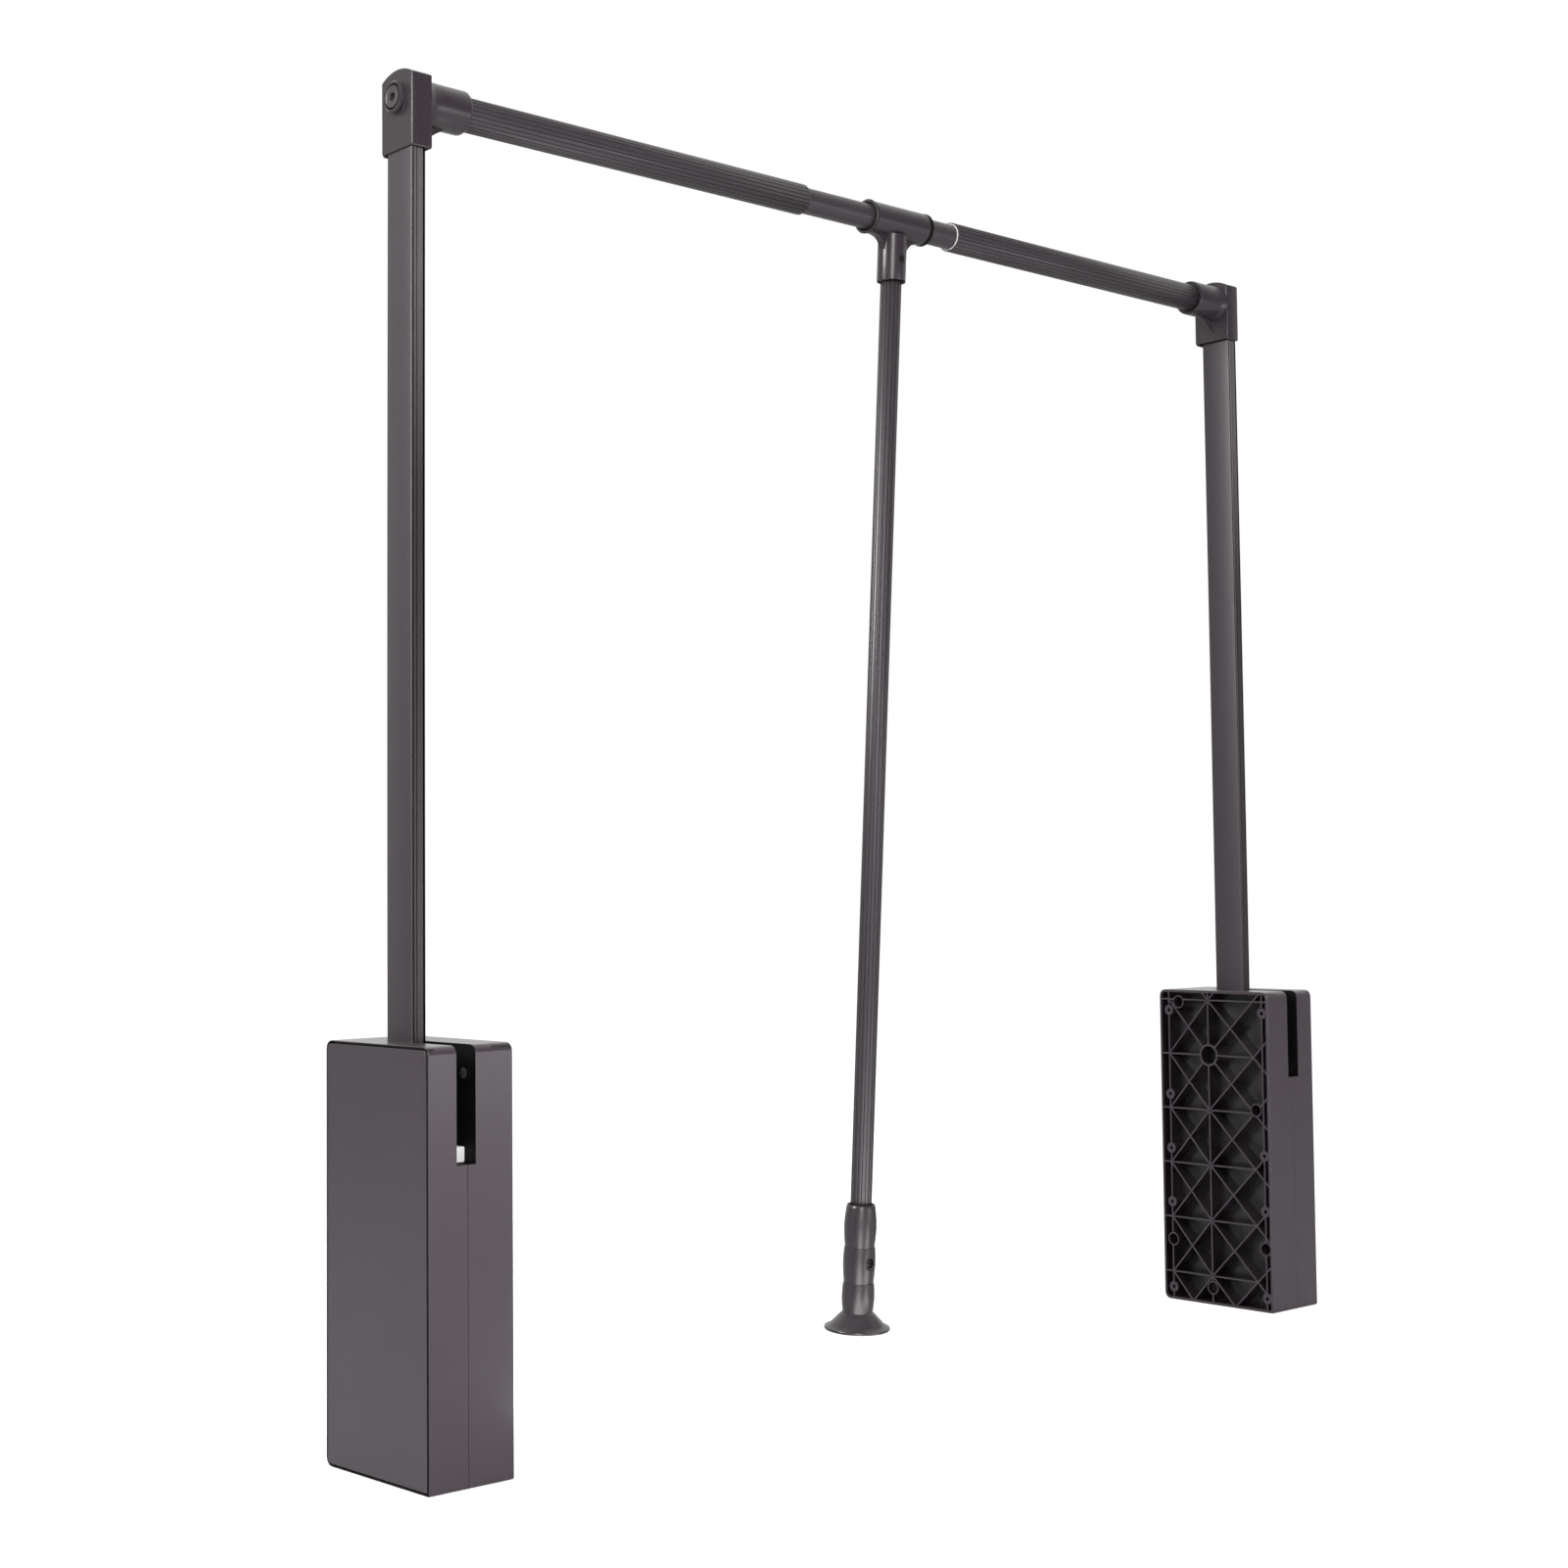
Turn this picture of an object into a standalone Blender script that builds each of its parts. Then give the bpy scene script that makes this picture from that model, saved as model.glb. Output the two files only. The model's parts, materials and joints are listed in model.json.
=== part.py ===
"""Pull-down closet rod.

Two side units stand or are screwed in a wardrobe. Each holds a sprung and damped
arm, the arms carry a telescopic crossbar, and a pull rod with a grip hangs from
the crossbar. Metres, +Z up, +X along the crossbar, -Y towards the user, origin at
the middle of the footprint on the plane that the units stand on.

An "inset" is a distance from a unit's outer side face in towards the middle.
"""

import math

import bpy
import bmesh

# Overall layout
overall_width = 1.018
housing_height = 0.300
housing_depth = 0.128
housing_thickness = 0.0705
pivot_drop = 0.062
arm_reach = 0.7375
arm_set_back = 0.006
arm_inset = 0.030
lowered_angle = math.radians(78.0)
pull_rod_lean = math.radians(3.6)
tee_offset = 0.0205
pull_rod_reach = 0.952

# Clearances shared by all fits
fit_gap = 0.0003
cut_overrun = 0.010
weld_depth = 0.001
merge_distance = 0.000005
plane_tolerance = 0.00003

# Housing shells
shell_wall = 0.003
housing_corner_radius = 0.006
housing_toe_radius = 0.0015
housing_edge_radius = 0.0008
parting_inset = 0.0325
rim_width = 0.0012
cover_thickness = 0.003
cover_edge_radius = 0.0005
partition_inset = 0.0523
partition_thickness = 0.0025
slot_width = 0.0158
slot_centre_inset = 0.0313
slot_drop = 0.0814
cheek_thickness = 0.002
cheek_drop = 0.074
cheek_toe_length = 0.027
cheek_toe_drop = 0.086
boss_radius = 0.0055
axle_boss_radius = 0.010

# Ribs and rings on the mounting face
rib_thickness = 0.0015
ring_recess = 0.0002
rib_pitch_share = 0.17567
rib_row_count = 6
rear_rib_from_edge = 0.011
front_rib_from_edge = 0.007
base_rim_width = 0.0025
small_ring_radius = 0.0052
small_ring_hole_radius = 0.0019
small_ring_hole_depth = 0.010
wall_ring_radius = 0.0066
wall_ring_bore_radius = 0.0054
pivot_ring_radius = 0.0108
pivot_ring_bore_radius = 0.0088
rear_ring_drop_shares = (0.0667, 0.3387, 0.5133, 0.6867, 0.9600)
front_ring_drop_shares = (0.0667, 0.5133, 0.6867, 0.9567)
wall_ring_place_shares = ((0.1758, 0.0393), (0.8789, 0.3717), (0.0898, 0.8067), (0.9414, 0.8033))

# Shell screws
screw_radius = 0.0018
screw_head_radius = 0.0039
screw_head_height = 0.0020
screw_crown_share = 0.8
screw_edge_distance = 0.0145
screw_mid_drop = 0.150
screw_end_inset = 0.048
cheek_screw_edge_distance = 0.0135
cheek_screw_drop = 0.020
cheek_ring_radius = 0.0070
cheek_ring_bore_radius = 0.0046
cheek_ring_height = 0.0010

# Pivot axle, bushes and arm root
axle_radius = 0.005
axle_head_radius = 0.0075
axle_head_height = 0.004
axle_start_inset = 0.0088
bush_radius = 0.0069
bush_flange_radius = 0.0095
bush_flange_thickness = 0.001
hub_radius = 0.014
crank_radius = 0.038
crank_end_radius = 0.0085
crank_thickness = 0.008
tongue_length = 0.075
tongue_width = 0.026

# Spring, damper and their pins
pin_radius = 0.004
pin_head_radius = 0.006
pin_head_height = 0.0015
lower_pin_height = 0.016
lower_pin_start_inset = 0.008
lower_pin_end_inset = 0.068
crank_pin_start_inset = 0.0095
spring_radius = 0.0075
spring_wire_radius = 0.0015
spring_curls = 10
points_per_curl = 8
spring_lead = 0.016
damper_radius = 0.0065
damper_wall = 0.0015
damper_length = 0.120
damper_start = 0.007
damper_rod_radius = 0.003
piston_length = 0.008
piston_start = 0.020
gland_length = 0.008
eye_radius = 0.0055
eye_width = 0.008
damper_side_gap = 0.0005
damper_pin_end_gap = 0.002

# White stop block in the slot and the shelf under it
stop_setback = 0.0128
stop_depth = 0.012
shelf_thickness = 0.0025
shelf_overhang = 0.002

# Arm
arm_depth = 0.0345
arm_thickness = 0.0095
arm_wall = 0.0015
arm_edge_radius = 0.0010
arm_start = 0.019
arm_top_above_bar = 0.011
arm_front_web = 0.003
strip_width = 0.0056
strip_thickness = 0.0011
rivet_radius = 0.0025
rivet_head_radius = 0.0042
rivet_head_height = 0.0011
rivet_reach = 0.045

# Arm head with its crossbar socket
head_front_overlap = 0.0011
head_rear_overlap = 0.0037
head_outer_overlap = 0.0013
head_inner_overlap = 0.0034
head_drop = 0.038
head_shoulder_rise = 0.0161
head_crown_rise = 0.0218
head_edge_radius = 0.0012
head_lip_drop = 0.006
socket_radius = 0.016
socket_length = 0.0438
socket_floor_length = 0.008
socket_chamfer = 0.0022
socket_root_radius = 0.0178
socket_root_length = 0.012
gusset_width = 0.003
gusset_length = 0.027
gusset_drop = 0.0155
gusset_edge_shares = ((1, 0), (0.75, 0.125), (0.5, 0.354), (0.25, 0.650), (0, 1))
bolt_boss_radius = 0.01175
bolt_boss_rim_radius = 0.01075
bolt_boss_height = 0.0050
bolt_boss_bevel = 0.0015
bolt_recess_radius = 0.00915
bolt_head_radius = 0.00825
bolt_head_height = 0.0045
bolt_radius = 0.004
bolt_key_width = 0.006
bolt_key_depth = 0.003
bolt_length = 0.046

# Crossbar
outer_tube_radius = 0.01265
outer_tube_bore_radius = 0.0117
flute_depth = 0.0004
outer_flute_count = 24
tube_seat_gap = 0.0003
inner_tube_radius = 0.0107
inner_tube_wall = 0.0012
inner_tube_engagement = 0.126
left_exposed_length = 0.0762
right_exposed_length = 0.0325
bush_sleeve_length = 0.025
bush_rim_radius = 0.0119
bush_rim_thickness = 0.0005
plug_length = 0.018

# Tee and pull rod
tee_radius = 0.0138
tee_left_length = 0.0305
tee_right_length = 0.0332
left_collar_length = 0.0026
left_collar_radius = 0.0147
right_collar_length = 0.0038
right_collar_radius = 0.0141
collar_mouth_radius = 0.0120
collar_mouth_depth = 0.0009
collar_groove_depth = 0.0009
collar_groove_width = 0.0008
sleeve_radius = 0.0125
sleeve_drop = 0.0517
sleeve_bore_top = 0.0150
sleeve_chamfer = 0.001
web_radius = 0.011
web_width = 0.012
tee_screw_drop = 0.033
small_screw_radius = 0.0015
small_screw_head_radius = 0.0030
small_screw_head_height = 0.0012
small_screw_length = 0.0065
pull_rod_radius = 0.0092
pull_rod_wall = 0.0012
pull_rod_flute_depth = 0.00035
pull_rod_flute_count = 16

# Grip
grip_length = 0.1055
grip_top_radius = 0.0122
bulge_radius = 0.0140
bulge_lengths = (0.0362, 0.0315, 0.0231)
waist_radii = (0.0128, 0.0128, 0.0131)
waist_step = 0.0004
flare_foot_radius = 0.0245
disc_radius = 0.0287
disc_thickness = 0.0035
disc_rim_thickness = 0.0022
grip_floor = 0.006
grip_screw_drop = 0.0476

# Faces around round pieces
fine_sides = 24
medium_sides = 16
small_sides = 12
boss_sides = 10
hole_sides = 6
corner_steps = 3
bulge_steps = 4
hook_steps = 7

# Values worked out from those above
pivot_height = housing_height - pivot_drop
bar_height = pivot_height + arm_reach
half_depth = housing_depth / 2
slot_near_inset = slot_centre_inset - slot_width / 2
slot_far_inset = slot_centre_inset + slot_width / 2
slot_floor = housing_height - slot_drop
rib_pitch = housing_height * rib_pitch_share
stop_back = -half_depth + stop_setback + stop_depth
slot_rear = arm_set_back + arm_depth / 2 + fit_gap
outer_floor_inset = cover_thickness + fit_gap
cavity_inset = outer_floor_inset + shell_wall
partition_back_inset = partition_inset + partition_thickness
spring_inset = arm_inset - crank_thickness / 2 - 2 * fit_gap - spring_radius - spring_wire_radius
damper_inset = arm_inset + crank_thickness / 2 + damper_side_gap + damper_radius
crank_pin_height = pivot_height - crank_radius
axle_end_inset = partition_back_inset + fit_gap
head_near_inset = arm_inset - arm_thickness / 2 - head_outer_overlap
head_far_inset = arm_inset + arm_thickness / 2 + head_inner_overlap
socket_floor_inset = head_far_inset + socket_floor_length
socket_end_inset = head_far_inset + socket_length
tube_start_inset = socket_floor_inset + tube_seat_gap
bar_point = (arm_set_back, bar_height)
pivot_point = (arm_set_back, pivot_height)
rivet_point = (arm_set_back, pivot_height + rivet_reach)
lower_pin_point = (arm_set_back, lower_pin_height)
crank_pin_point = (arm_set_back, crank_pin_height)
tee_left_end = tee_offset - tee_left_length - left_collar_length
tee_right_end = tee_offset + tee_right_length + right_collar_length
left_tube_end = tee_left_end - left_exposed_length
right_tube_end = tee_right_end + right_exposed_length
tube_ends = {-1: left_tube_end, 1: right_tube_end}
side_names = {-1: "left", 1: "right"}

# Finishes: colour, roughness, metallic
finishes = {
    "graphite_plastic": ((0.105, 0.092, 0.101), 0.42, 0.0),
    "graphite_enamel": ((0.088, 0.078, 0.084), 0.34, 0.35),
    "strip_grey": ((0.170, 0.158, 0.156), 0.40, 0.6),
    "black_rubber": ((0.012, 0.012, 0.013), 0.55, 0.0),
    "black_screw": ((0.020, 0.019, 0.021), 0.38, 0.7),
    "white_nylon": ((0.780, 0.770, 0.780), 0.45, 0.0),
    "zinc_steel": ((0.520, 0.520, 0.530), 0.32, 1.0),
    "spring_steel": ((0.300, 0.290, 0.290), 0.35, 1.0),
}


def clear_scene():
    """Remove whatever objects the scene holds."""
    for item in list(bpy.data.objects):
        bpy.data.objects.remove(item, do_unlink=True)


def finish_material(finish):
    """Return the Principled material of a finish, made on first use."""
    if finish in bpy.data.materials:
        return bpy.data.materials[finish]
    colour, roughness, metallic = finishes[finish]
    material = bpy.data.materials.new(finish)
    material.use_nodes = True
    shader = material.node_tree.nodes["Principled BSDF"]
    shader.inputs["Base Color"].default_value = (*colour, 1.0)
    shader.inputs["Roughness"].default_value = roughness
    shader.inputs["Metallic"].default_value = metallic
    return material


def side_x(side, inset):
    """X of a plane that lies inset from the outer face of the unit on that side."""
    return side * (overall_width / 2 - inset)


# Shapes


def shape(vertices, faces):
    """A closed mesh object, with doubled points merged and faces turned outwards."""
    mesh = bpy.data.meshes.new("shape")
    mesh.from_pydata(vertices, [], faces)
    work = bmesh.new()
    work.from_mesh(mesh)
    bmesh.ops.remove_doubles(work, verts=work.verts, dist=merge_distance)
    bmesh.ops.recalc_face_normals(work, faces=work.faces)
    work.to_mesh(mesh)
    work.free()
    item = bpy.data.objects.new("shape", mesh)
    bpy.context.collection.objects.link(item)
    return item


def place(axis, along, first, second):
    """A point from its place along an axis and its two places across it."""
    if axis == "X":
        return (along, first, second)
    if axis == "Y":
        return (first, along, second)
    return (first, second, along)


def prism(outline, axis, start, end):
    """An outline extruded along an axis from start to end."""
    count = len(outline)
    vertices = [place(axis, start, a, b) for a, b in outline]
    vertices += [place(axis, end, a, b) for a, b in outline]
    faces = [tuple(range(count)), tuple(range(2 * count - 1, count - 1, -1))]
    for index in range(count):
        following = (index + 1) % count
        faces.append((index, following, count + following, count + index))
    return shape(vertices, faces)


def tube_prism(outer, inner, axis, start, end):
    """A hollow extrusion between an outer and an inner outline with as many points."""
    count = len(outer)
    vertices = []
    for along in (start, end):
        vertices += [place(axis, along, a, b) for a, b in outer]
        vertices += [place(axis, along, a, b) for a, b in inner]
    faces = []
    for index in range(count):
        following = (index + 1) % count
        near, far = 0, 2 * count
        faces.append((near + index, near + following, far + following, far + index))
        faces.append((near + count + index, near + count + following,
                      far + count + following, far + count + index))
        faces.append((near + index, near + following, near + count + following, near + count + index))
        faces.append((far + index, far + following, far + count + following, far + count + index))
    return shape(vertices, faces)


def turned(profile, axis, centre, sides):
    """A profile of (along, radius) points turned round an axis; it ends on the axis or closes."""
    on_axis = profile[0][1] == 0 and profile[-1][1] == 0
    vertices = []
    for along, radius in profile:
        for step in range(sides):
            angle = 2 * math.pi * (step + 0.5) / sides
            first = centre[0] + radius * math.cos(angle)
            second = centre[1] + radius * math.sin(angle)
            vertices.append(place(axis, along, first, second))
    rows = len(profile)
    faces = []
    for row in range(rows - 1 if on_axis else rows):
        below = row * sides
        above = ((row + 1) % rows) * sides
        for step in range(sides):
            following = (step + 1) % sides
            faces.append((below + step, below + following, above + following, above + step))
    return shape(vertices, faces)


def rod(axis, centre, start, end, radius, sides):
    """A round bar."""
    profile = [(start, 0), (start, radius), (end, radius), (end, 0)]
    return turned(profile, axis, centre, sides)


def pipe(axis, centre, start, end, radius, bore, sides):
    """A round bar with a bore right through."""
    profile = [(start, bore), (start, radius), (end, radius), (end, bore)]
    return turned(profile, axis, centre, sides)


def stepped(side, point, steps, end, sides):
    """A bar along X from one inset to another, its radius set by (inset, radius) steps."""
    profile = [(side_x(side, steps[0][0]), 0)]
    for (inset, radius), following in zip(steps, list(steps[1:]) + [(end, 0)]):
        profile += [(side_x(side, inset), radius), (side_x(side, following[0]), radius)]
    profile.append((side_x(side, end), 0))
    return turned(profile, "X", point, sides)


def box(x_start, x_end, y_start, y_end, z_start, z_end):
    """A block between two corners."""
    outline = [(y_start, z_start), (y_end, z_start), (y_end, z_end), (y_start, z_end)]
    return prism(outline, "X", x_start, x_end)


def arc(centre, radius, start, end, steps):
    """Points on an arc, both ends included, angles in radians."""
    points = []
    for step in range(steps + 1):
        angle = start + (end - start) * step / steps
        points.append((centre[0] + radius * math.cos(angle), centre[1] + radius * math.sin(angle)))
    return points


def rounded_rectangle(low, high, radii, steps):
    """A rectangle between two corners, each of its own corners with its own radius."""
    quarter = math.pi / 2
    corners = ((low[0], low[1], 1, 1), (high[0], low[1], -1, 1),
               (high[0], high[1], -1, -1), (low[0], high[1], 1, -1))
    outline = []
    for index, (corner, radius) in enumerate(zip(corners, radii)):
        centre = (corner[0] + corner[2] * radius, corner[1] + corner[3] * radius)
        start = math.pi + index * quarter
        outline += arc(centre, radius, start, start + quarter, steps)
    return outline


def fluted_circle(centre, radius, depth, count):
    """A circle whose edge steps in by depth between evenly spaced ribs."""
    outline = []
    for step in range(4 * count):
        reach = radius if step % 4 < 2 else radius - depth
        angle = 2 * math.pi * (step + 0.5) / (4 * count)
        outline.append((centre[0] + reach * math.cos(angle), centre[1] + reach * math.sin(angle)))
    return outline


def plain_circle(centre, radius, count):
    """A circle with the same number of points as a fluted one."""
    points = []
    for step in range(4 * count):
        angle = 2 * math.pi * (step + 0.5) / (4 * count)
        points.append((centre[0] + radius * math.cos(angle), centre[1] + radius * math.sin(angle)))
    return points


def merge_shapes(tools):
    """Put several shapes into one mesh object, for a single Boolean."""
    work = bmesh.new()
    for tool in tools:
        work.from_mesh(tool.data)
    for tool in tools[1:]:
        bpy.data.objects.remove(tool, do_unlink=True)
    work.to_mesh(tools[0].data)
    work.free()
    return tools[0]


def tidy(item):
    """Merge doubled points and join flat neighbouring faces."""
    work = bmesh.new()
    work.from_mesh(item.data)
    bmesh.ops.remove_doubles(work, verts=work.verts, dist=merge_distance)
    bmesh.ops.dissolve_degenerate(work, edges=work.edges, dist=merge_distance)
    bmesh.ops.dissolve_limit(work, verts=work.verts, edges=work.edges, angle_limit=math.radians(0.02))
    work.to_mesh(item.data)
    work.free()
    return item


def combine(target, tool, operation):
    """Join a tool to a shape or cut it out of it."""
    modifier = target.modifiers.new("combine", "BOOLEAN")
    modifier.operation = operation
    modifier.solver = "EXACT"
    modifier.object = tool
    graph = bpy.context.evaluated_depsgraph_get()
    result = bpy.data.meshes.new_from_object(target.evaluated_get(graph))
    target.modifiers.clear()
    target.data = result
    bpy.data.objects.remove(tool, do_unlink=True)
    return tidy(target)


def add(target, *tools):
    """Weld tools to a shape one after another; they may overlap."""
    for tool in tools:
        combine(target, tool, "UNION")
    return target


def cut(target, *tools):
    """Cut tools that don't touch each other out of a shape."""
    return combine(target, merge_shapes(tools), "DIFFERENCE")


def round_edges(item, axis, along, width, steps):
    """Round the edges of a shape that lie in the plane at that place along an axis."""
    index = "XYZ".index(axis)
    work = bmesh.new()
    work.from_mesh(item.data)
    edges = [edge for edge in work.edges
             if all(abs(vertex.co[index] - along) < plane_tolerance for vertex in edge.verts)]
    bmesh.ops.bevel(work, geom=edges, offset=width, offset_type="OFFSET", segments=steps,
                    profile=0.5, affect="EDGES", clamp_overlap=True)
    work.to_mesh(item.data)
    work.free()
    return item


def finish(item, name, look, parent=None):
    """Name a finished piece, shade it, and hang it on its axis."""
    item.name = name
    item.data.name = name
    item.data.materials.clear()
    item.data.materials.append(finish_material(look))
    item.data.shade_smooth()
    item.data.set_sharp_from_angle(angle=math.radians(32.0))
    if parent is not None:
        item.parent = parent
        item.matrix_parent_inverse = parent.matrix_world.inverted()
    return item


def axis_empty(name, location):
    """An empty on a joint's axis."""
    item = bpy.data.objects.new(name, None)
    item.empty_display_size = axle_boss_radius
    item.location = location
    bpy.context.collection.objects.link(item)
    bpy.context.view_layer.update()
    return item


# Housing


def housing_outline(inset):
    """The housing's side outline, drawn in by inset; its front foot corner is nearly sharp."""
    radii = [max(radius - inset, radius / 4) for radius in
             (housing_toe_radius, housing_corner_radius, housing_corner_radius, housing_corner_radius)]
    low = (-half_depth + inset, inset)
    high = (half_depth - inset, housing_height - inset)
    return rounded_rectangle(low, high, radii, corner_steps)


def slot_cutter(side, from_inset, to_inset):
    """The space that the arm swings through, open at the housing's top and front."""
    return box(side_x(side, from_inset), side_x(side, to_inset), -half_depth - cut_overrun,
               slot_rear, slot_floor, housing_height + cut_overrun)


def cheek(side, from_inset, to_inset):
    """A guide wall beside the slot, with a toe that reaches down behind the stop block."""
    front = -half_depth + shell_wall - weld_depth
    top = housing_height - shell_wall + weld_depth
    low = housing_height - cheek_drop
    toe = housing_height - cheek_toe_drop
    outline = [
        (front, toe), (front + cheek_toe_length, toe),
        (front + cheek_toe_length + low - toe, low), (slot_rear, low),
        (slot_rear, top), (front, top),
    ]
    return prism(outline, "X", side_x(side, from_inset), side_x(side, to_inset))


def stop_shelf(side, from_inset, to_inset):
    """The floor of the slot's front end, which carries the stop block."""
    front = -half_depth + shell_wall - weld_depth
    return box(side_x(side, from_inset), side_x(side, to_inset), front, stop_back + shelf_overhang,
               slot_floor - shelf_thickness, slot_floor + weld_depth)


def shell_screw_points():
    """Where the three shell screws stand, as (y, z): rear top, rear foot and front."""
    rear = half_depth - screw_edge_distance
    low = screw_edge_distance
    return ((rear, housing_height - low), (rear, low), (-rear, housing_height - screw_mid_drop))


def build_outer_shell(side, parent):
    """The outer half: tray for the cover plate, one slot wall, screw and pin bosses."""
    far = parting_inset - fit_gap / 2
    body = prism(housing_outline(0), "X", side_x(side, 0), side_x(side, far))
    round_edges(body, "X", side_x(side, 0), housing_edge_radius, 2)
    hollow = prism(housing_outline(shell_wall), "X", side_x(side, cavity_inset),
                   side_x(side, far + cut_overrun))
    recess = prism(housing_outline(rim_width), "X", side_x(side, -cut_overrun),
                   side_x(side, outer_floor_inset))
    cut(body, hollow)
    cut(body, recess)
    add(body, cheek(side, slot_near_inset - cheek_thickness, slot_near_inset + weld_depth))
    add(body, stop_shelf(side, slot_near_inset - weld_depth, far))
    cut(body, slot_cutter(side, slot_near_inset, far + cut_overrun))
    base = side_x(side, cavity_inset - weld_depth)
    bosses = [rod("X", point, base, side_x(side, far), boss_radius, boss_sides)
              for point in shell_screw_points()]
    bosses.append(rod("X", lower_pin_point, base, side_x(side, lower_pin_start_inset + boss_radius / 2),
                      pin_radius + shell_wall, boss_sides))
    add(body, *bosses)
    add(body, rod("X", pivot_point, base, side_x(side, slot_near_inset - weld_depth),
                  axle_boss_radius, small_sides))
    head_seat = outer_floor_inset + screw_head_height + 2 * fit_gap
    wells = ((outer_floor_inset - weld_depth, screw_head_radius + fit_gap),
             (head_seat, screw_radius + fit_gap))
    holes = [stepped(side, point, wells, far + cut_overrun, small_sides)
             for point in shell_screw_points()]
    holes.append(rod("X", pivot_point, side_x(side, axle_start_inset - fit_gap),
                     side_x(side, slot_near_inset + cut_overrun), axle_radius + fit_gap, medium_sides))
    holes.append(rod("X", lower_pin_point, side_x(side, lower_pin_start_inset - fit_gap),
                     side_x(side, parting_inset), pin_radius + fit_gap, small_sides))
    cut(body, *holes)
    return finish(body, side_names[side] + "_outer_shell", "graphite_plastic", parent)


def lattice_rows():
    """Heights of the lattice's horizontal ribs, the second of them on the pivot."""
    top = pivot_height + rib_pitch
    return [top - index * rib_pitch for index in range(rib_row_count)]


def lattice_columns():
    """Y of the lattice's rear, centre and front node columns."""
    return (half_depth - rear_rib_from_edge, arm_set_back, arm_set_back - rib_pitch)


def lattice_lines():
    """Centre lines of the ribs, as pairs of (y, z) points."""
    rear, centre, front = lattice_columns()
    rows = lattice_rows()
    lines = [((y, 0), (y, housing_height)) for y in (rear, centre, -half_depth + front_rib_from_edge)]
    rim_reach = half_depth + centre
    for index, row in enumerate(rows):
        above, below = row + rib_pitch, row - rib_pitch
        lines += [((centre, row), (rear, above)), ((centre, row), (rear, below)),
                  ((centre, row), (-half_depth, row + rim_reach)),
                  ((centre, row), (-half_depth, row - rim_reach))]
        lines.append(((half_depth, row), (-half_depth if index == 0 else front, row)))
    foot = rows[-1] - rib_pitch
    lines += [((rear, rows[-1]), (centre, foot)), ((-half_depth, foot + rim_reach), (centre, foot))]
    return lines


def kept_side(polygon, point, normal):
    """The part of a convex polygon on the side of a line that its normal points to."""
    def height(corner):
        return (corner[0] - point[0]) * normal[0] + (corner[1] - point[1]) * normal[1]

    kept = []
    for corner, following in zip(polygon, polygon[1:] + polygon[:1]):
        here, there = height(corner), height(following)
        if here >= 0:
            kept.append(corner)
        if here * there < 0:
            share = here / (here - there)
            kept.append((corner[0] + (following[0] - corner[0]) * share,
                         corner[1] + (following[1] - corner[1]) * share))
    return [corner for index, corner in enumerate(kept)
            if math.dist(corner, kept[index - 1]) > plane_tolerance]


def polygon_area(polygon):
    """Area of a polygon."""
    total = 0
    for corner, following in zip(polygon, polygon[1:] + polygon[:1]):
        total += corner[0] * following[1] - following[0] * corner[1]
    return abs(total) / 2


def line_normal(start, end):
    """The unit normal to the left of a line."""
    run = (end[0] - start[0], end[1] - start[1])
    length = math.hypot(*run)
    return (-run[1] / length, run[0] / length)


def crosses(polygon, start, end):
    """Whether a stretch of a line runs through a convex polygon and not only past it."""
    low, high = 0, 1
    for corner, following in zip(polygon, polygon[1:] + polygon[:1]):
        normal = line_normal(corner, following)
        first = (start[0] - corner[0]) * normal[0] + (start[1] - corner[1]) * normal[1]
        last = (end[0] - corner[0]) * normal[0] + (end[1] - corner[1]) * normal[1]
        first, last = first - fit_gap, last - fit_gap
        if first < 0 and last < 0:
            return False
        if first < 0 or last < 0:
            share = first / (first - last)
            low, high = (max(low, share), high) if first < 0 else (low, min(high, share))
    return high > low


def lattice_pockets():
    """Outlines of the hollows that the ribs leave between them."""
    cells = [housing_outline(base_rim_width - rib_thickness / 2)]
    for start, end in lattice_lines():
        normal = line_normal(start, end)
        parted = []
        for cell in cells:
            if crosses(cell, start, end):
                parted.append(kept_side(cell, start, normal))
                parted.append(kept_side(cell, start, (-normal[0], -normal[1])))
            else:
                parted.append(cell)
        cells = parted
    pockets = []
    for cell in cells:
        pocket = cell
        for corner, following in zip(cell, cell[1:] + cell[:1]):
            normal = line_normal(corner, following)
            inner = (corner[0] + normal[0] * rib_thickness / 2, corner[1] + normal[1] * rib_thickness / 2)
            pocket = kept_side(pocket, inner, normal)
        if len(pocket) > 2 and polygon_area(pocket) > rib_thickness ** 2:
            pockets.append(pocket)
    return pockets


def ring_places():
    """Centres of the small screw rings and of the wider rings, as (y, z)."""
    rear = lattice_columns()[0]
    front = -half_depth + front_rib_from_edge
    small = [(rear, housing_height * (1 - share)) for share in rear_ring_drop_shares]
    small += [(front, housing_height * (1 - share)) for share in front_ring_drop_shares]
    wide = [(half_depth - housing_depth * back, housing_height * (1 - down))
            for back, down in wall_ring_place_shares]
    return small, wide + [lower_pin_point]


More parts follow.
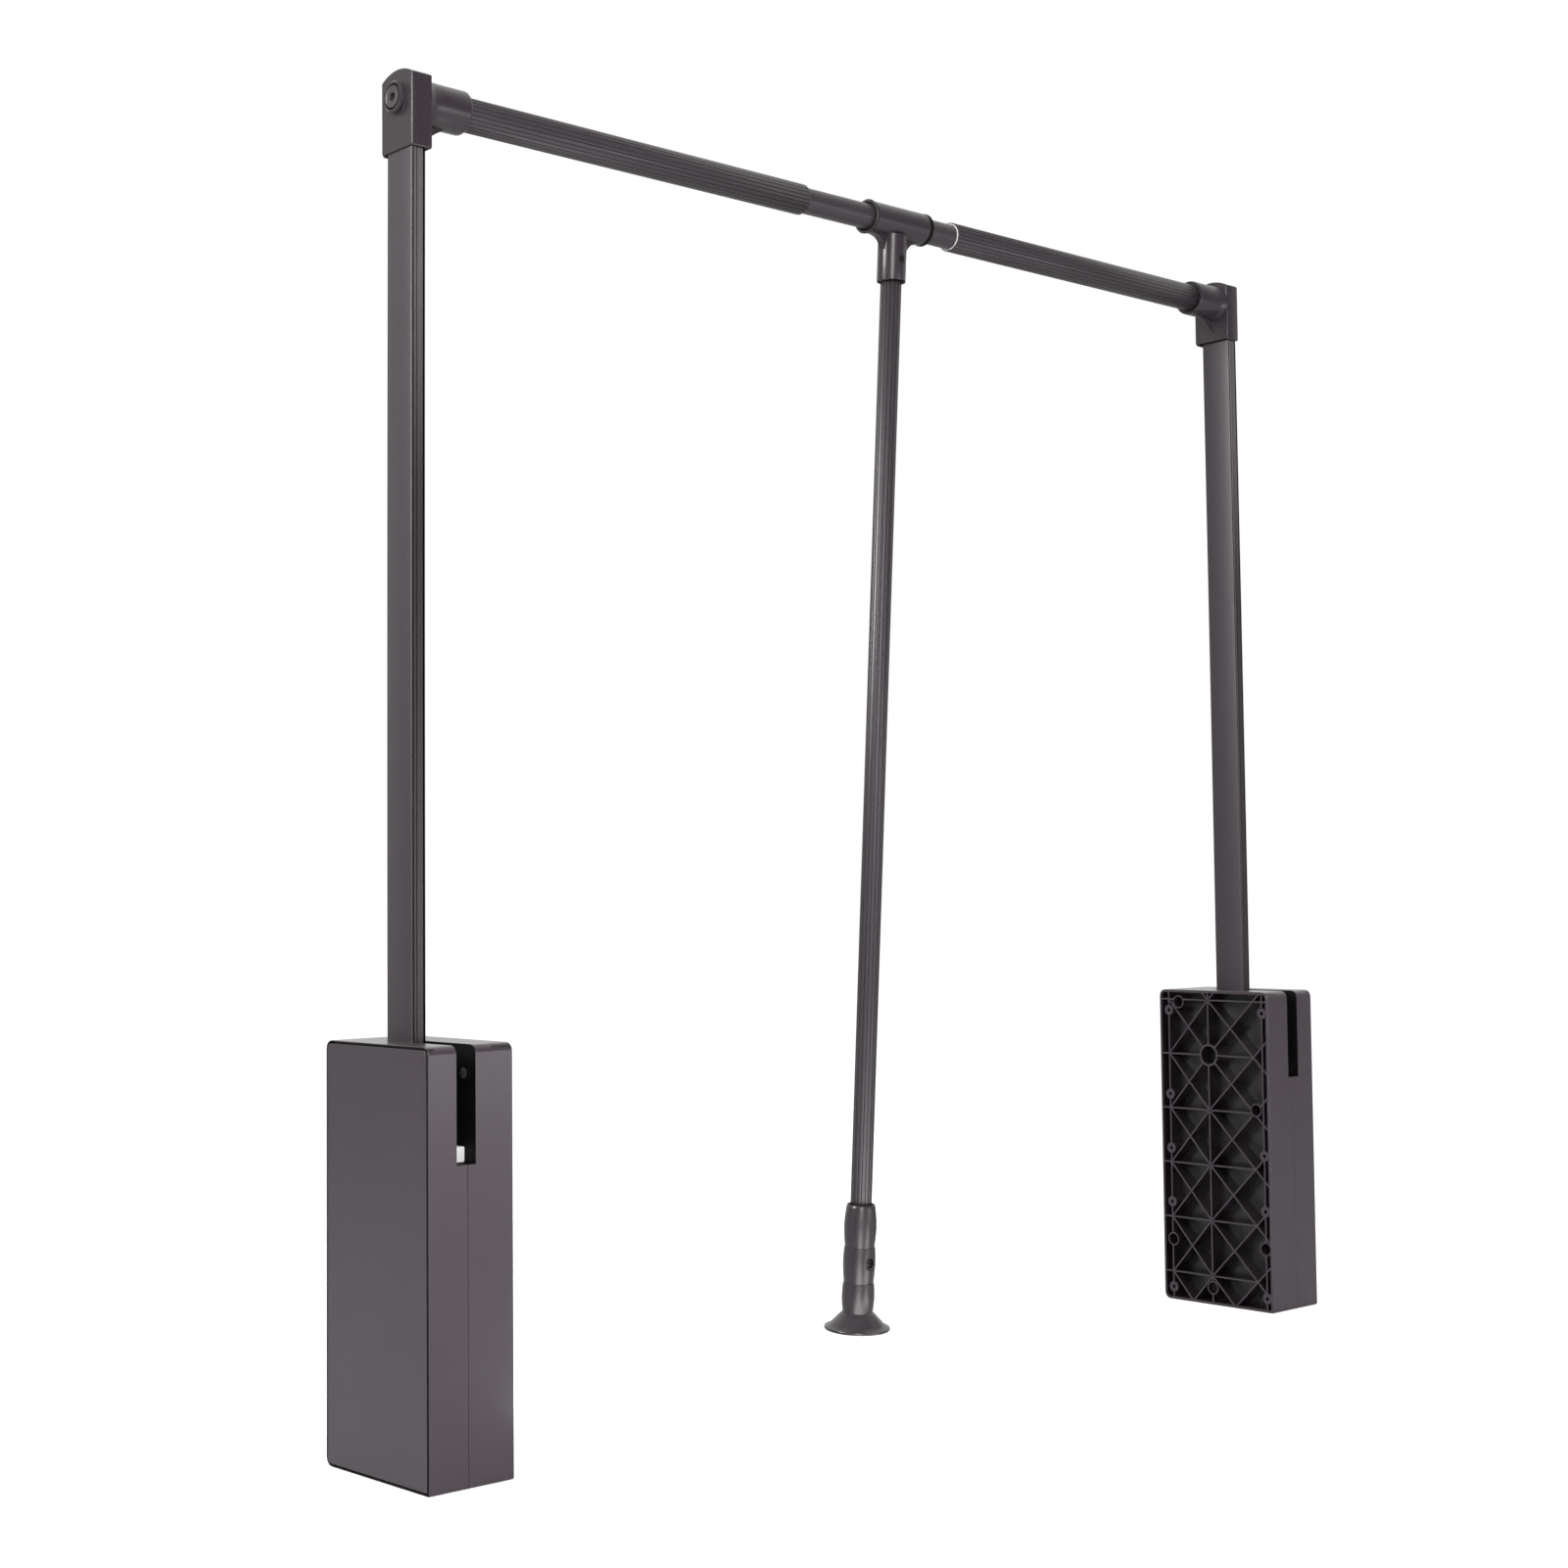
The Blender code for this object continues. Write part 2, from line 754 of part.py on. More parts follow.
def build_base_shell(side, parent):
    """The inner half: ribbed mounting face, partition, the other slot wall and bosses."""
    near = parting_inset + fit_gap / 2
    body = prism(housing_outline(0), "X", side_x(side, near), side_x(side, housing_thickness))
    round_edges(body, "X", side_x(side, housing_thickness), housing_edge_radius / 2, 1)
    cut(body, prism(housing_outline(shell_wall), "X", side_x(side, near - cut_overrun),
                    side_x(side, partition_inset)))
    beyond = side_x(side, housing_thickness + cut_overrun)
    floor = side_x(side, partition_back_inset)
    cut(body, *[prism(pocket, "X", floor, beyond) for pocket in lattice_pockets()])
    small, wide = ring_places()
    foot = side_x(side, partition_back_inset - weld_depth)
    crest = side_x(side, housing_thickness - ring_recess)
    rings = [rod("X", point, foot, crest, small_ring_radius, boss_sides) for point in small]
    rings += [rod("X", point, foot, crest, wall_ring_radius, boss_sides) for point in wide]
    rings.append(rod("X", pivot_point, foot, crest, pivot_ring_radius, medium_sides))
    add(body, merge_shapes(rings))
    blind = side_x(side, housing_thickness - small_ring_hole_depth)
    holes = [rod("X", point, blind, beyond, small_ring_hole_radius, hole_sides) for point in small]
    holes += [rod("X", point, floor, beyond, wall_ring_bore_radius, boss_sides) for point in wide]
    holes.append(rod("X", pivot_point, floor, beyond, pivot_ring_bore_radius, medium_sides))
    cut(body, *holes)
    add(body, cheek(side, slot_far_inset - weld_depth, slot_far_inset + cheek_thickness))
    add(body, stop_shelf(side, near, slot_far_inset + weld_depth))
    cut(body, slot_cutter(side, near - cut_overrun, slot_far_inset))
    deep = side_x(side, partition_inset + weld_depth)
    behind = side_x(side, slot_far_inset + weld_depth)
    cheek_screw = cheek_screw_point()
    bosses = [rod("X", point, side_x(side, near), deep, boss_radius, boss_sides)
              for point in shell_screw_points()]
    add(body, *bosses)
    add(body, rod("X", pivot_point, behind, deep, axle_boss_radius, small_sides),
        rod("X", cheek_screw, behind, deep, boss_radius, boss_sides),
        rod("X", cheek_screw, side_x(side, slot_far_inset - cheek_ring_height), behind,
            cheek_ring_radius, small_sides))
    bores = [rod("X", point, side_x(side, near - cut_overrun), side_x(side, screw_end_inset + fit_gap),
                 screw_radius + fit_gap, small_sides) for point in shell_screw_points()]
    bores.append(rod("X", pivot_point, side_x(side, parting_inset),
                     side_x(side, partition_back_inset + weld_depth), axle_radius + fit_gap, medium_sides))
    bores.append(rod("X", lower_pin_point, side_x(side, parting_inset),
                     side_x(side, partition_back_inset + weld_depth), pin_radius + fit_gap, small_sides))
    cheek_steps = ((parting_inset, cheek_ring_bore_radius),
                   (slot_far_inset + fit_gap, small_screw_radius + fit_gap))
    bores.append(stepped(side, cheek_screw, cheek_steps, screw_end_inset + fit_gap, small_sides))
    cut(body, *bores)
    return finish(body, side_names[side] + "_base_shell", "graphite_plastic", parent)


def build_cover_plate(side, parent):
    """The flush plate that hides the shell screws."""
    outline = housing_outline(rim_width + fit_gap)
    plate = prism(outline, "X", side_x(side, 0), side_x(side, cover_thickness))
    round_edges(plate, "X", side_x(side, 0), cover_edge_radius, 1)
    return finish(plate, side_names[side] + "_cover_plate", "graphite_plastic", parent)


def cheek_screw_point():
    """Where the screw of the inner slot wall stands, as (y, z)."""
    return (-half_depth + cheek_screw_edge_distance, housing_height - cheek_screw_drop)


def screw(side, point, head_inset, end_inset, radius, head_radius, head_height):
    """A pan-head screw along X, its head towards the unit's outer face."""
    profile = [
        (side_x(side, head_inset), 0), (side_x(side, head_inset), head_radius * screw_crown_share),
        (side_x(side, head_inset + head_height / 3), head_radius),
        (side_x(side, head_inset + head_height), head_radius),
        (side_x(side, head_inset + head_height), radius),
        (side_x(side, end_inset - radius), radius), (side_x(side, end_inset), 0),
    ]
    return turned(profile, "X", point, small_sides)


def build_shell_screws(side, parent):
    """Three alike screws that hold the two shells together."""
    for place_name, point in zip(("top", "foot", "front"), shell_screw_points()):
        item = screw(side, point, outer_floor_inset + fit_gap, screw_end_inset, screw_radius,
                     screw_head_radius, screw_head_height)
        finish(item, side_names[side] + "_shell_screw_" + place_name, "zinc_steel", parent)


def build_cheek_screw(side, parent):
    """The screw in the ring on the inner slot wall."""
    item = screw(side, cheek_screw_point(), slot_far_inset - small_screw_head_height,
                 screw_end_inset, small_screw_radius, cheek_ring_bore_radius - 2 * fit_gap,
                 small_screw_head_height)
    return finish(item, side_names[side] + "_cheek_screw", "black_screw", parent)


def build_stop_block(side, parent):
    """The white nylon stop that the lowered arm comes to rest on."""
    lean = math.pi / 2 - lowered_angle
    run = arm_set_back - stop_back
    arm_underside = pivot_height + run * math.tan(lean) - arm_depth / 2 / math.cos(lean)
    item = box(side_x(side, slot_near_inset + fit_gap), side_x(side, slot_far_inset - fit_gap),
               stop_back - stop_depth, stop_back, slot_floor + fit_gap, arm_underside - fit_gap)
    return finish(item, side_names[side] + "_stop_block", "white_nylon", parent)


# Pivot, spring and damper


def build_pivot_axle(side, parent):
    """The steel axle, put in from the mounting face, its head in the wide ring."""
    profile = [
        (side_x(side, axle_start_inset), 0),
        (side_x(side, axle_start_inset), axle_radius),
        (side_x(side, axle_end_inset), axle_radius),
        (side_x(side, axle_end_inset), axle_head_radius),
        (side_x(side, axle_end_inset + axle_head_height), axle_head_radius),
        (side_x(side, axle_end_inset + axle_head_height), 0),
    ]
    item = turned(profile, "X", pivot_point, medium_sides)
    return finish(item, side_names[side] + "_pivot_axle", "black_screw", parent)


def hub_insets():
    """The arm root's two hub faces, each a flange and two gaps in from a slot wall."""
    room = bush_flange_thickness + 2 * fit_gap
    return slot_near_inset + room, slot_far_inset - room


def build_pivot_bush(side, parent):
    """The flanged nylon bush that the hub turns on; its plain end stands proud of the hub."""
    near, far = hub_insets()
    profile = [
        (side_x(side, slot_near_inset + fit_gap), axle_radius + fit_gap),
        (side_x(side, slot_near_inset + fit_gap), bush_flange_radius),
        (side_x(side, near - fit_gap), bush_flange_radius),
        (side_x(side, near - fit_gap), bush_radius),
        (side_x(side, slot_far_inset - fit_gap), bush_radius),
        (side_x(side, slot_far_inset - fit_gap), axle_radius + fit_gap),
    ]
    item = turned(profile, "X", pivot_point, medium_sides)
    return finish(item, side_names[side] + "_pivot_bush", "white_nylon", parent)


def link_outline(first, first_radius, second, second_radius, steps):
    """The outline of a flat link: two round ends joined by tangents."""
    run = (second[0] - first[0], second[1] - first[1])
    heading = math.atan2(run[1], run[0])
    spread = math.acos((first_radius - second_radius) / math.hypot(*run))
    near = arc(first, first_radius, heading + spread, heading + 2 * math.pi - spread, steps)
    far = arc(second, second_radius, heading - spread, heading + spread, steps)
    return near + far


def build_arm_root(side, parent):
    """The steel casting in the housing: hub, crank for spring and damper, tongue for the arm."""
    plate = link_outline(pivot_point, hub_radius, crank_pin_point, crank_end_radius, small_sides)
    half = crank_thickness / 2
    item = prism(plate, "X", side_x(side, arm_inset - half), side_x(side, arm_inset + half))
    near, far = hub_insets()
    tongue_half = arm_thickness / 2 - arm_wall - fit_gap
    tongue = box(side_x(side, arm_inset - tongue_half), side_x(side, arm_inset + tongue_half),
                 arm_set_back + arm_depth / 2 - arm_wall - fit_gap - tongue_width,
                 arm_set_back + arm_depth / 2 - arm_wall - fit_gap,
                 pivot_height, pivot_height + tongue_length)
    add(item, rod("X", pivot_point, side_x(side, near), side_x(side, far), hub_radius - weld_depth,
                  medium_sides), tongue)
    bores = [
        rod("X", pivot_point, side_x(side, 0), side_x(side, housing_thickness), bush_radius + fit_gap,
            medium_sides),
        rod("X", crank_pin_point, side_x(side, 0), side_x(side, housing_thickness),
            pin_radius + fit_gap, small_sides),
    ]
    bores.append(rod("X", rivet_point, side_x(side, 0), side_x(side, housing_thickness),
                     rivet_radius + fit_gap, small_sides))
    cut(item, *bores)
    return finish(item, side_names[side] + "_arm_root", "zinc_steel", parent)


def headed_pin(side, point, head_inset, end_inset):
    """A plain pin along X with a flat head at one end."""
    inward = 1 if end_inset > head_inset else -1
    neck = head_inset + inward * pin_head_height
    profile = [
        (side_x(side, head_inset), 0), (side_x(side, head_inset), pin_head_radius),
        (side_x(side, neck), pin_head_radius), (side_x(side, neck), pin_radius),
        (side_x(side, end_inset), pin_radius), (side_x(side, end_inset), 0),
    ]
    return turned(profile, "X", point, small_sides)


def build_crank_pin(side, parent):
    """The pin on the crank that the spring pulls on."""
    end = arm_inset + crank_thickness / 2 - fit_gap
    item = headed_pin(side, crank_pin_point, crank_pin_start_inset, end)
    return finish(item, side_names[side] + "_crank_pin", "zinc_steel", parent)


def build_damper_pin(side, parent):
    """The pin through the damper's upper eye, against the crank's face."""
    start = arm_inset + crank_thickness / 2 + fit_gap
    head = partition_inset - damper_pin_end_gap
    item = headed_pin(side, crank_pin_point, head, start)
    return finish(item, side_names[side] + "_damper_pin", "zinc_steel", parent)


def build_lower_pin(side, parent):
    """The pin across the housing's foot that anchors spring and damper."""
    item = rod("X", lower_pin_point, side_x(side, lower_pin_start_inset),
               side_x(side, lower_pin_end_inset), pin_radius, small_sides)
    return finish(item, side_names[side] + "_lower_pin", "black_screw", parent)


def spring_route(side):
    """The wire's centre line: a hook round each pin and evenly wound curls between them."""
    hook_radius = pin_radius + fit_gap + spring_wire_radius
    x_centre = side_x(side, spring_inset)
    y_centre = arm_set_back
    bottom = lower_pin_height + spring_lead
    top = crank_pin_height - spring_lead
    route = []
    for y, z in arc(lower_pin_point, hook_radius, -math.pi * 1.25, 0, hook_steps):
        route.append((x_centre, y, z))
    total = spring_curls * points_per_curl
    for step in range(total + 1):
        angle = 2 * math.pi * spring_curls * step / total
        height = bottom + (top - bottom) * step / total
        x = x_centre - side * spring_radius * math.sin(angle)
        route.append((x, y_centre + spring_radius * math.cos(angle), height))
    for y, z in arc(crank_pin_point, hook_radius, 0, math.pi * 1.25, hook_steps):
        route.append((x_centre, y, z))
    return route


def build_return_spring(side, parent):
    """The tension spring that lifts the arm, as one unbroken wire."""
    route = spring_route(side)
    curve = bpy.data.curves.new(side_names[side] + "_return_spring", "CURVE")
    curve.dimensions = "3D"
    curve.bevel_depth = spring_wire_radius
    curve.bevel_resolution = 1
    curve.use_fill_caps = True
    spline = curve.splines.new("POLY")
    spline.points.add(len(route) - 1)
    for point, position in zip(spline.points, route):
        point.co = (*position, 1.0)
    item = bpy.data.objects.new(curve.name, curve)
    item.data.materials.append(finish_material("spring_steel"))
    bpy.context.collection.objects.link(item)
    item.parent = parent
    item.matrix_parent_inverse = parent.matrix_world.inverted()
    return item


def spring_gap():
    """Least clear distance between neighbouring turns of the spring's wire."""
    length = crank_pin_height - lower_pin_height - 2 * spring_lead
    return length / spring_curls - 2 * spring_wire_radius


def damper_eye(side, point):
    """A round eye for a pin, as wide as the damper's knuckle."""
    return rod("X", point, side_x(side, damper_inset - eye_width / 2),
               side_x(side, damper_inset + eye_width / 2), eye_radius, small_sides)


def eye_bore(side, point):
    """The hole through an eye."""
    return rod("X", point, side_x(side, damper_inset - eye_width),
               side_x(side, damper_inset + eye_width), pin_radius + fit_gap, small_sides)


def damper_top():
    """Height of the damper cylinder's open end."""
    return lower_pin_height + damper_start + damper_length


def build_damper_cylinder(side, parent):
    """The oil damper's cylinder, open at its top, with its eye on the lower pin."""
    centre = (side_x(side, damper_inset), arm_set_back)
    start = lower_pin_height + damper_start
    floor = lower_pin_height + piston_start - damper_wall
    bore = damper_radius - damper_wall
    profile = [
        (lower_pin_height, 0), (lower_pin_height, eye_width / 2), (start, eye_width / 2),
        (start, damper_radius), (damper_top(), damper_radius), (damper_top(), bore), (floor, bore),
        (floor, 0),
    ]
    item = turned(profile, "Z", centre, medium_sides)
    add(item, damper_eye(side, lower_pin_point))
    cut(item, eye_bore(side, lower_pin_point))
    return finish(item, side_names[side] + "_damper_cylinder", "black_screw", parent)


def build_damper_gland(side, parent):
    """The guide ring that closes the cylinder round the rod."""
    centre = (side_x(side, damper_inset), arm_set_back)
    item = pipe("Z", centre, damper_top() - gland_length, damper_top() - fit_gap,
                damper_radius - damper_wall - fit_gap, damper_rod_radius + fit_gap, medium_sides)
    return finish(item, side_names[side] + "_damper_gland", "zinc_steel", parent)


def build_damper_rod(side, parent):
    """The damper's rod, with its piston below and its eye at the crank."""
    centre = (side_x(side, damper_inset), arm_set_back)
    start = lower_pin_height + piston_start
    piston = damper_radius - damper_wall - fit_gap
    profile = [
        (start, 0), (start, piston), (start + piston_length, piston),
        (start + piston_length, damper_rod_radius), (crank_pin_height, damper_rod_radius),
        (crank_pin_height, 0),
    ]
    item = turned(profile, "Z", centre, medium_sides)
    add(item, damper_eye(side, crank_pin_point))
    cut(item, eye_bore(side, crank_pin_point))
    return finish(item, side_names[side] + "_damper_rod", "zinc_steel", parent)


# Arm


def arm_outline(side, spread):
    """The arm's section in (x, y), with the strip's groove in its front edge."""
    centre = side_x(side, arm_inset)
    half_x = arm_thickness / 2 + spread
    half_y = arm_depth / 2 + spread
    low = (centre - half_x, arm_set_back - half_y)
    high = (centre + half_x, arm_set_back + half_y)
    return rounded_rectangle(low, high, [arm_edge_radius + spread] * 4, 2)


def strip_groove(side, spread, start, end):
    """The strip, or with a spread its groove, as a block in the arm's front edge."""
    centre = side_x(side, arm_inset)
    front = arm_set_back - arm_depth / 2
    half = strip_width / 2 + spread
    reach = front - (cut_overrun if spread else -fit_gap)
    return box(centre - half, centre + half, reach, front + fit_gap + strip_thickness + spread,
               start, end)


def build_arm_tube(side, parent):
    """The flat aluminium arm: a hollow extrusion with a grooved front edge."""
    start = pivot_height + arm_start
    end = bar_height + arm_top_above_bar
    item = prism(arm_outline(side, 0), "Z", start, end)
    centre = side_x(side, arm_inset)
    half = arm_thickness / 2 - arm_wall
    hollow = box(centre - half, centre + half, arm_set_back - arm_depth / 2 + arm_front_web + arm_wall,
                 arm_set_back + arm_depth / 2 - arm_wall, start - cut_overrun, end + cut_overrun)
    groove = strip_groove(side, fit_gap, start - cut_overrun, end + cut_overrun)
    cut(item, hollow)
    cut(item, groove)
    holes = [rod("X", rivet_point, side_x(side, 0), side_x(side, housing_thickness),
                 rivet_radius + fit_gap, small_sides)]
    holes.append(rod("X", bar_point, side_x(side, 0), side_x(side, housing_thickness),
                     bolt_radius + fit_gap, small_sides))
    cut(item, *holes)
    return finish(item, side_names[side] + "_arm_tube", "graphite_enamel", parent)


def build_arm_strip(side, parent):
    """The light strip that fills the arm's front groove up to the head."""
    item = strip_groove(side, 0, pivot_height + arm_start, bar_height - head_drop - fit_gap)
    return finish(item, side_names[side] + "_arm_strip", "strip_grey", parent)


def build_arm_rivet(side, parent):
    """The rivet through the arm and the root's tongue."""
    near = arm_inset - arm_thickness / 2 - fit_gap
    far = arm_inset + arm_thickness / 2 + fit_gap
    rim = rivet_head_radius - rivet_head_height / 2
    profile = [
        (side_x(side, near - rivet_head_height), 0),
        (side_x(side, near - rivet_head_height / 2), rim),
        (side_x(side, near), rivet_head_radius), (side_x(side, near), rivet_radius),
        (side_x(side, far), rivet_radius), (side_x(side, far), rivet_head_radius),
        (side_x(side, far + rivet_head_height / 2), rim),
        (side_x(side, far + rivet_head_height), 0),
    ]
    item = turned(profile, "X", rivet_point, small_sides)
    return finish(item, side_names[side] + "_arm_rivet", "zinc_steel", parent)


def head_outline():
    """The head's side outline in (y, z): a straight-sided cap with a crowned top."""
    front = arm_set_back - arm_depth / 2 - head_front_overlap
    rear = arm_set_back + arm_depth / 2 + head_rear_overlap
    shoulder = bar_height + head_shoulder_rise
    rise = head_crown_rise - head_shoulder_rise
    half = (rear - front) / 2
    radius = (half * half + rise * rise) / (2 * rise)
    centre = ((front + rear) / 2, shoulder + rise - radius)
    spread = math.asin(half / radius)
    crown = arc(centre, radius, math.pi / 2 - spread, math.pi / 2 + spread, 10)
    bottom = bar_height - head_drop
    return [(front, bottom), (rear, bottom)] + crown


def head_lip_outline():
    """The small tapered lip under the head's rear edge, in (y, z)."""
    front = arm_set_back + arm_depth / 2 + fit_gap + weld_depth / 2
    rear = arm_set_back + arm_depth / 2 + head_rear_overlap - fit_gap
    top = bar_height - head_drop + weld_depth
    foot = bar_height - head_drop - head_lip_drop
    return [(front, foot), (front + weld_depth, foot), (rear, top - weld_depth), (rear, top), (front, top)]


def build_arm_head(side, parent):
    """The moulded head: cap over the arm, bolt boss outside, crossbar socket inside."""
    item = prism(head_outline(), "X", side_x(side, head_near_inset), side_x(side, head_far_inset))
    round_edges(item, "X", side_x(side, head_near_inset), head_edge_radius, 2)
    boss_face = head_near_inset - bolt_boss_height
    boss = [
        (side_x(side, head_near_inset + weld_depth), 0),
        (side_x(side, head_near_inset + weld_depth), bolt_boss_radius),
        (side_x(side, boss_face + bolt_boss_bevel), bolt_boss_radius),
        (side_x(side, boss_face), bolt_boss_rim_radius),
        (side_x(side, boss_face), 0),
    ]
    socket = [
        (side_x(side, head_far_inset - weld_depth), 0),
        (side_x(side, head_far_inset - weld_depth), socket_root_radius),
        (side_x(side, head_far_inset), socket_root_radius),
        (side_x(side, head_far_inset + socket_root_length), socket_radius),
        (side_x(side, socket_end_inset - 2 * socket_chamfer), socket_radius),
        (side_x(side, socket_end_inset - socket_chamfer / 2), socket_radius - socket_chamfer / 2),
        (side_x(side, socket_end_inset), socket_radius - socket_chamfer),
        (side_x(side, socket_end_inset), 0),
    ]
    gusset_top = bar_height - socket_radius + weld_depth
    gusset = [(side_x(side, head_far_inset - weld_depth), gusset_top)]
    for out, down in gusset_edge_shares:
        gusset.append((side_x(side, head_far_inset + gusset_length * out),
                       gusset_top - gusset_drop * down))
    gusset.append((side_x(side, head_far_inset - weld_depth), gusset_top - gusset_drop))
    add(item, turned(boss, "X", bar_point, medium_sides), turned(socket, "X", bar_point, fine_sides),
        prism(gusset, "Y", arm_set_back - gusset_width / 2, arm_set_back + gusset_width / 2),
        prism(head_lip_outline(), "X", side_x(side, head_near_inset + head_edge_radius),
              side_x(side, head_far_inset - head_edge_radius)))
    pocket = prism(arm_outline(side, fit_gap), "Z", bar_height - head_drop - head_lip_drop - cut_overrun,
                   bar_height + arm_top_above_bar + fit_gap)
    recess_floor = boss_face + bolt_head_height + fit_gap
    cut(item, pocket)
    bore = ((boss_face - cut_overrun, bolt_recess_radius), (recess_floor, bolt_radius + fit_gap),
            (socket_floor_inset, outer_tube_radius + fit_gap))
    cut(item, stepped(side, bar_point, bore, socket_end_inset + cut_overrun, fine_sides))
    return finish(item, side_names[side] + "_arm_head", "graphite_plastic", parent)


def build_head_bolt(side, parent):
    """The socket-head bolt that clamps head, arm and crossbar tube together."""
    start = head_near_inset - bolt_boss_height
    neck = start + bolt_head_height
    profile = [
        (side_x(side, start), 0), (side_x(side, start), bolt_head_radius),
        (side_x(side, neck), bolt_head_radius), (side_x(side, neck), bolt_radius),
        (side_x(side, start + bolt_length), bolt_radius), (side_x(side, start + bolt_length), 0),
    ]
    item = turned(profile, "X", bar_point, medium_sides)
    corner = bolt_key_width / math.sqrt(3)
    key = prism(arc(bar_point, corner, 0, 2 * math.pi * 5 / 6, 5), "X",
                side_x(side, start - cut_overrun), side_x(side, start + bolt_key_depth))
    cut(item, key)
    return finish(item, side_names[side] + "_head_bolt", "black_screw", parent)


# Crossbar


def build_tube_plug(side, parent):
    """The threaded plug in the tube's end that the head bolt screws into."""
    start = tube_start_inset + fit_gap
    item = pipe("X", bar_point, side_x(side, start), side_x(side, start + plug_length),
                outer_tube_bore_radius - fit_gap, bolt_radius + fit_gap, medium_sides)
    return finish(item, side_names[side] + "_tube_plug", "zinc_steel", parent)


def build_outer_tube(side, parent):
    """A fluted outer tube of the crossbar, from its socket to its open mouth."""
    item = tube_prism(fluted_circle(bar_point, outer_tube_radius, flute_depth, outer_flute_count),
                      plain_circle(bar_point, outer_tube_bore_radius, outer_flute_count), "X",
                      side_x(side, tube_start_inset), tube_ends[side])
    return finish(item, side_names[side] + "_outer_tube", "graphite_enamel", parent)


def build_guide_bush(side, parent):
    """The nylon bush in the mouth of an outer tube that the inner tube slides in."""
    mouth = tube_ends[side] - side * fit_gap
    bore = inner_tube_radius + fit_gap
    profile = [
        (mouth - side * bush_rim_thickness, bore), (mouth - side * bush_rim_thickness, bush_rim_radius),
        (mouth, bush_rim_radius), (mouth, outer_tube_bore_radius - fit_gap),
        (mouth + side * bush_sleeve_length, outer_tube_bore_radius - fit_gap),
        (mouth + side * bush_sleeve_length, bore),
    ]
    item = turned(profile, "X", bar_point, fine_sides)
    return finish(item, side_names[side] + "_guide_bush", "white_nylon", parent)


def build_inner_tube(parent):
    """The smooth inner tube that both outer tubes slide over."""
    item = pipe("X", bar_point, left_tube_end - inner_tube_engagement,
                right_tube_end + inner_tube_engagement, inner_tube_radius,
                inner_tube_radius - inner_tube_wall, fine_sides)
    return finish(item, "inner_tube", "graphite_enamel", parent)


# Tee, pull rod and grip


def screw_well(drop, surface):
    """A counterbored hole from the front, at a drop below the crossbar's axis."""
    face = arm_set_back - surface
    floor = face + small_screw_head_height + fit_gap
    head, shank = small_screw_head_radius + fit_gap, small_screw_radius + fit_gap
    profile = [
        (face - cut_overrun, 0), (face - cut_overrun, head), (floor, head), (floor, shank),
        (arm_set_back - fit_gap, shank), (arm_set_back - fit_gap, 0),
    ]
    return turned(profile, "Y", (tee_offset, bar_height - drop), small_sides)


def front_screw(drop, surface):
    """A small screw from the front whose head lies flush in a counterbore."""
    face = arm_set_back - surface
    profile = [
        (face, 0), (face, small_screw_head_radius), (face + small_screw_head_height,
                                                     small_screw_head_radius),
        (face + small_screw_head_height, small_screw_radius),
        (face + small_screw_length, small_screw_radius), (face + small_screw_length, 0),
    ]
    item = turned(profile, "Y", (tee_offset, bar_height - drop), small_sides)
    reach = small_screw_radius
    slit = small_screw_radius / 4
    depth = face + small_screw_head_height / 2
    height = bar_height - drop
    cut(item, box(tee_offset - reach, tee_offset + reach, face - cut_overrun, depth,
                  height - slit, height + slit))
    cut(item, box(tee_offset - slit, tee_offset + slit, face - cut_overrun, depth + fit_gap / 2,
                  height - reach, height + reach))
    return item


def build_tee(parent):
    """The tee: a barrel that turns on the inner tube and a sleeve that holds the pull rod."""
    start = tee_offset - tee_left_length
    end = tee_offset + tee_right_length
    item = rod("X", bar_point, start, end, tee_radius, fine_sides)
    centre = (tee_offset, arm_set_back)
    foot = bar_height - sleeve_drop
    sleeve = [
        (bar_height, 0), (bar_height, sleeve_radius), (foot + sleeve_chamfer, sleeve_radius),
        (foot, sleeve_radius - sleeve_chamfer), (foot, 0),
    ]
    webs = []
    top = bar_height - tee_radius + web_radius / 4
    for direction in (-1, 1):
        inner = tee_offset + direction * (sleeve_radius - 2 * weld_depth)
        corner = (tee_offset + direction * (sleeve_radius + web_radius),
                  bar_height - tee_radius - web_radius)
        reach = min(corner[0] * direction, (start if direction < 0 else end) * direction) * direction
        curve = []
        for step in range(7):
            turn = math.pi / 2 * step / 6
            x = corner[0] - direction * web_radius * math.cos(turn)
            x = min(x * direction, reach * direction) * direction
            curve.append((x, corner[1] + web_radius * math.sin(turn)))
        outline = [(inner, corner[1])] + curve + [(curve[-1][0], top), (inner, top)]
        webs.append(prism(outline, "Y", arm_set_back - web_width / 2, arm_set_back + web_width / 2))
    add(item, turned(sleeve, "Z", centre, fine_sides), *webs)
    cut(item, rod("X", bar_point, start - cut_overrun, end + cut_overrun, inner_tube_radius + fit_gap,
                  fine_sides))
    cut(item, rod("Z", centre, bar_height - sleeve_bore_top, foot - cut_overrun,
                  pull_rod_radius + fit_gap, fine_sides))
    cut(item, screw_well(tee_screw_drop, sleeve_radius))
    return finish(item, "tee_body", "graphite_plastic", parent)


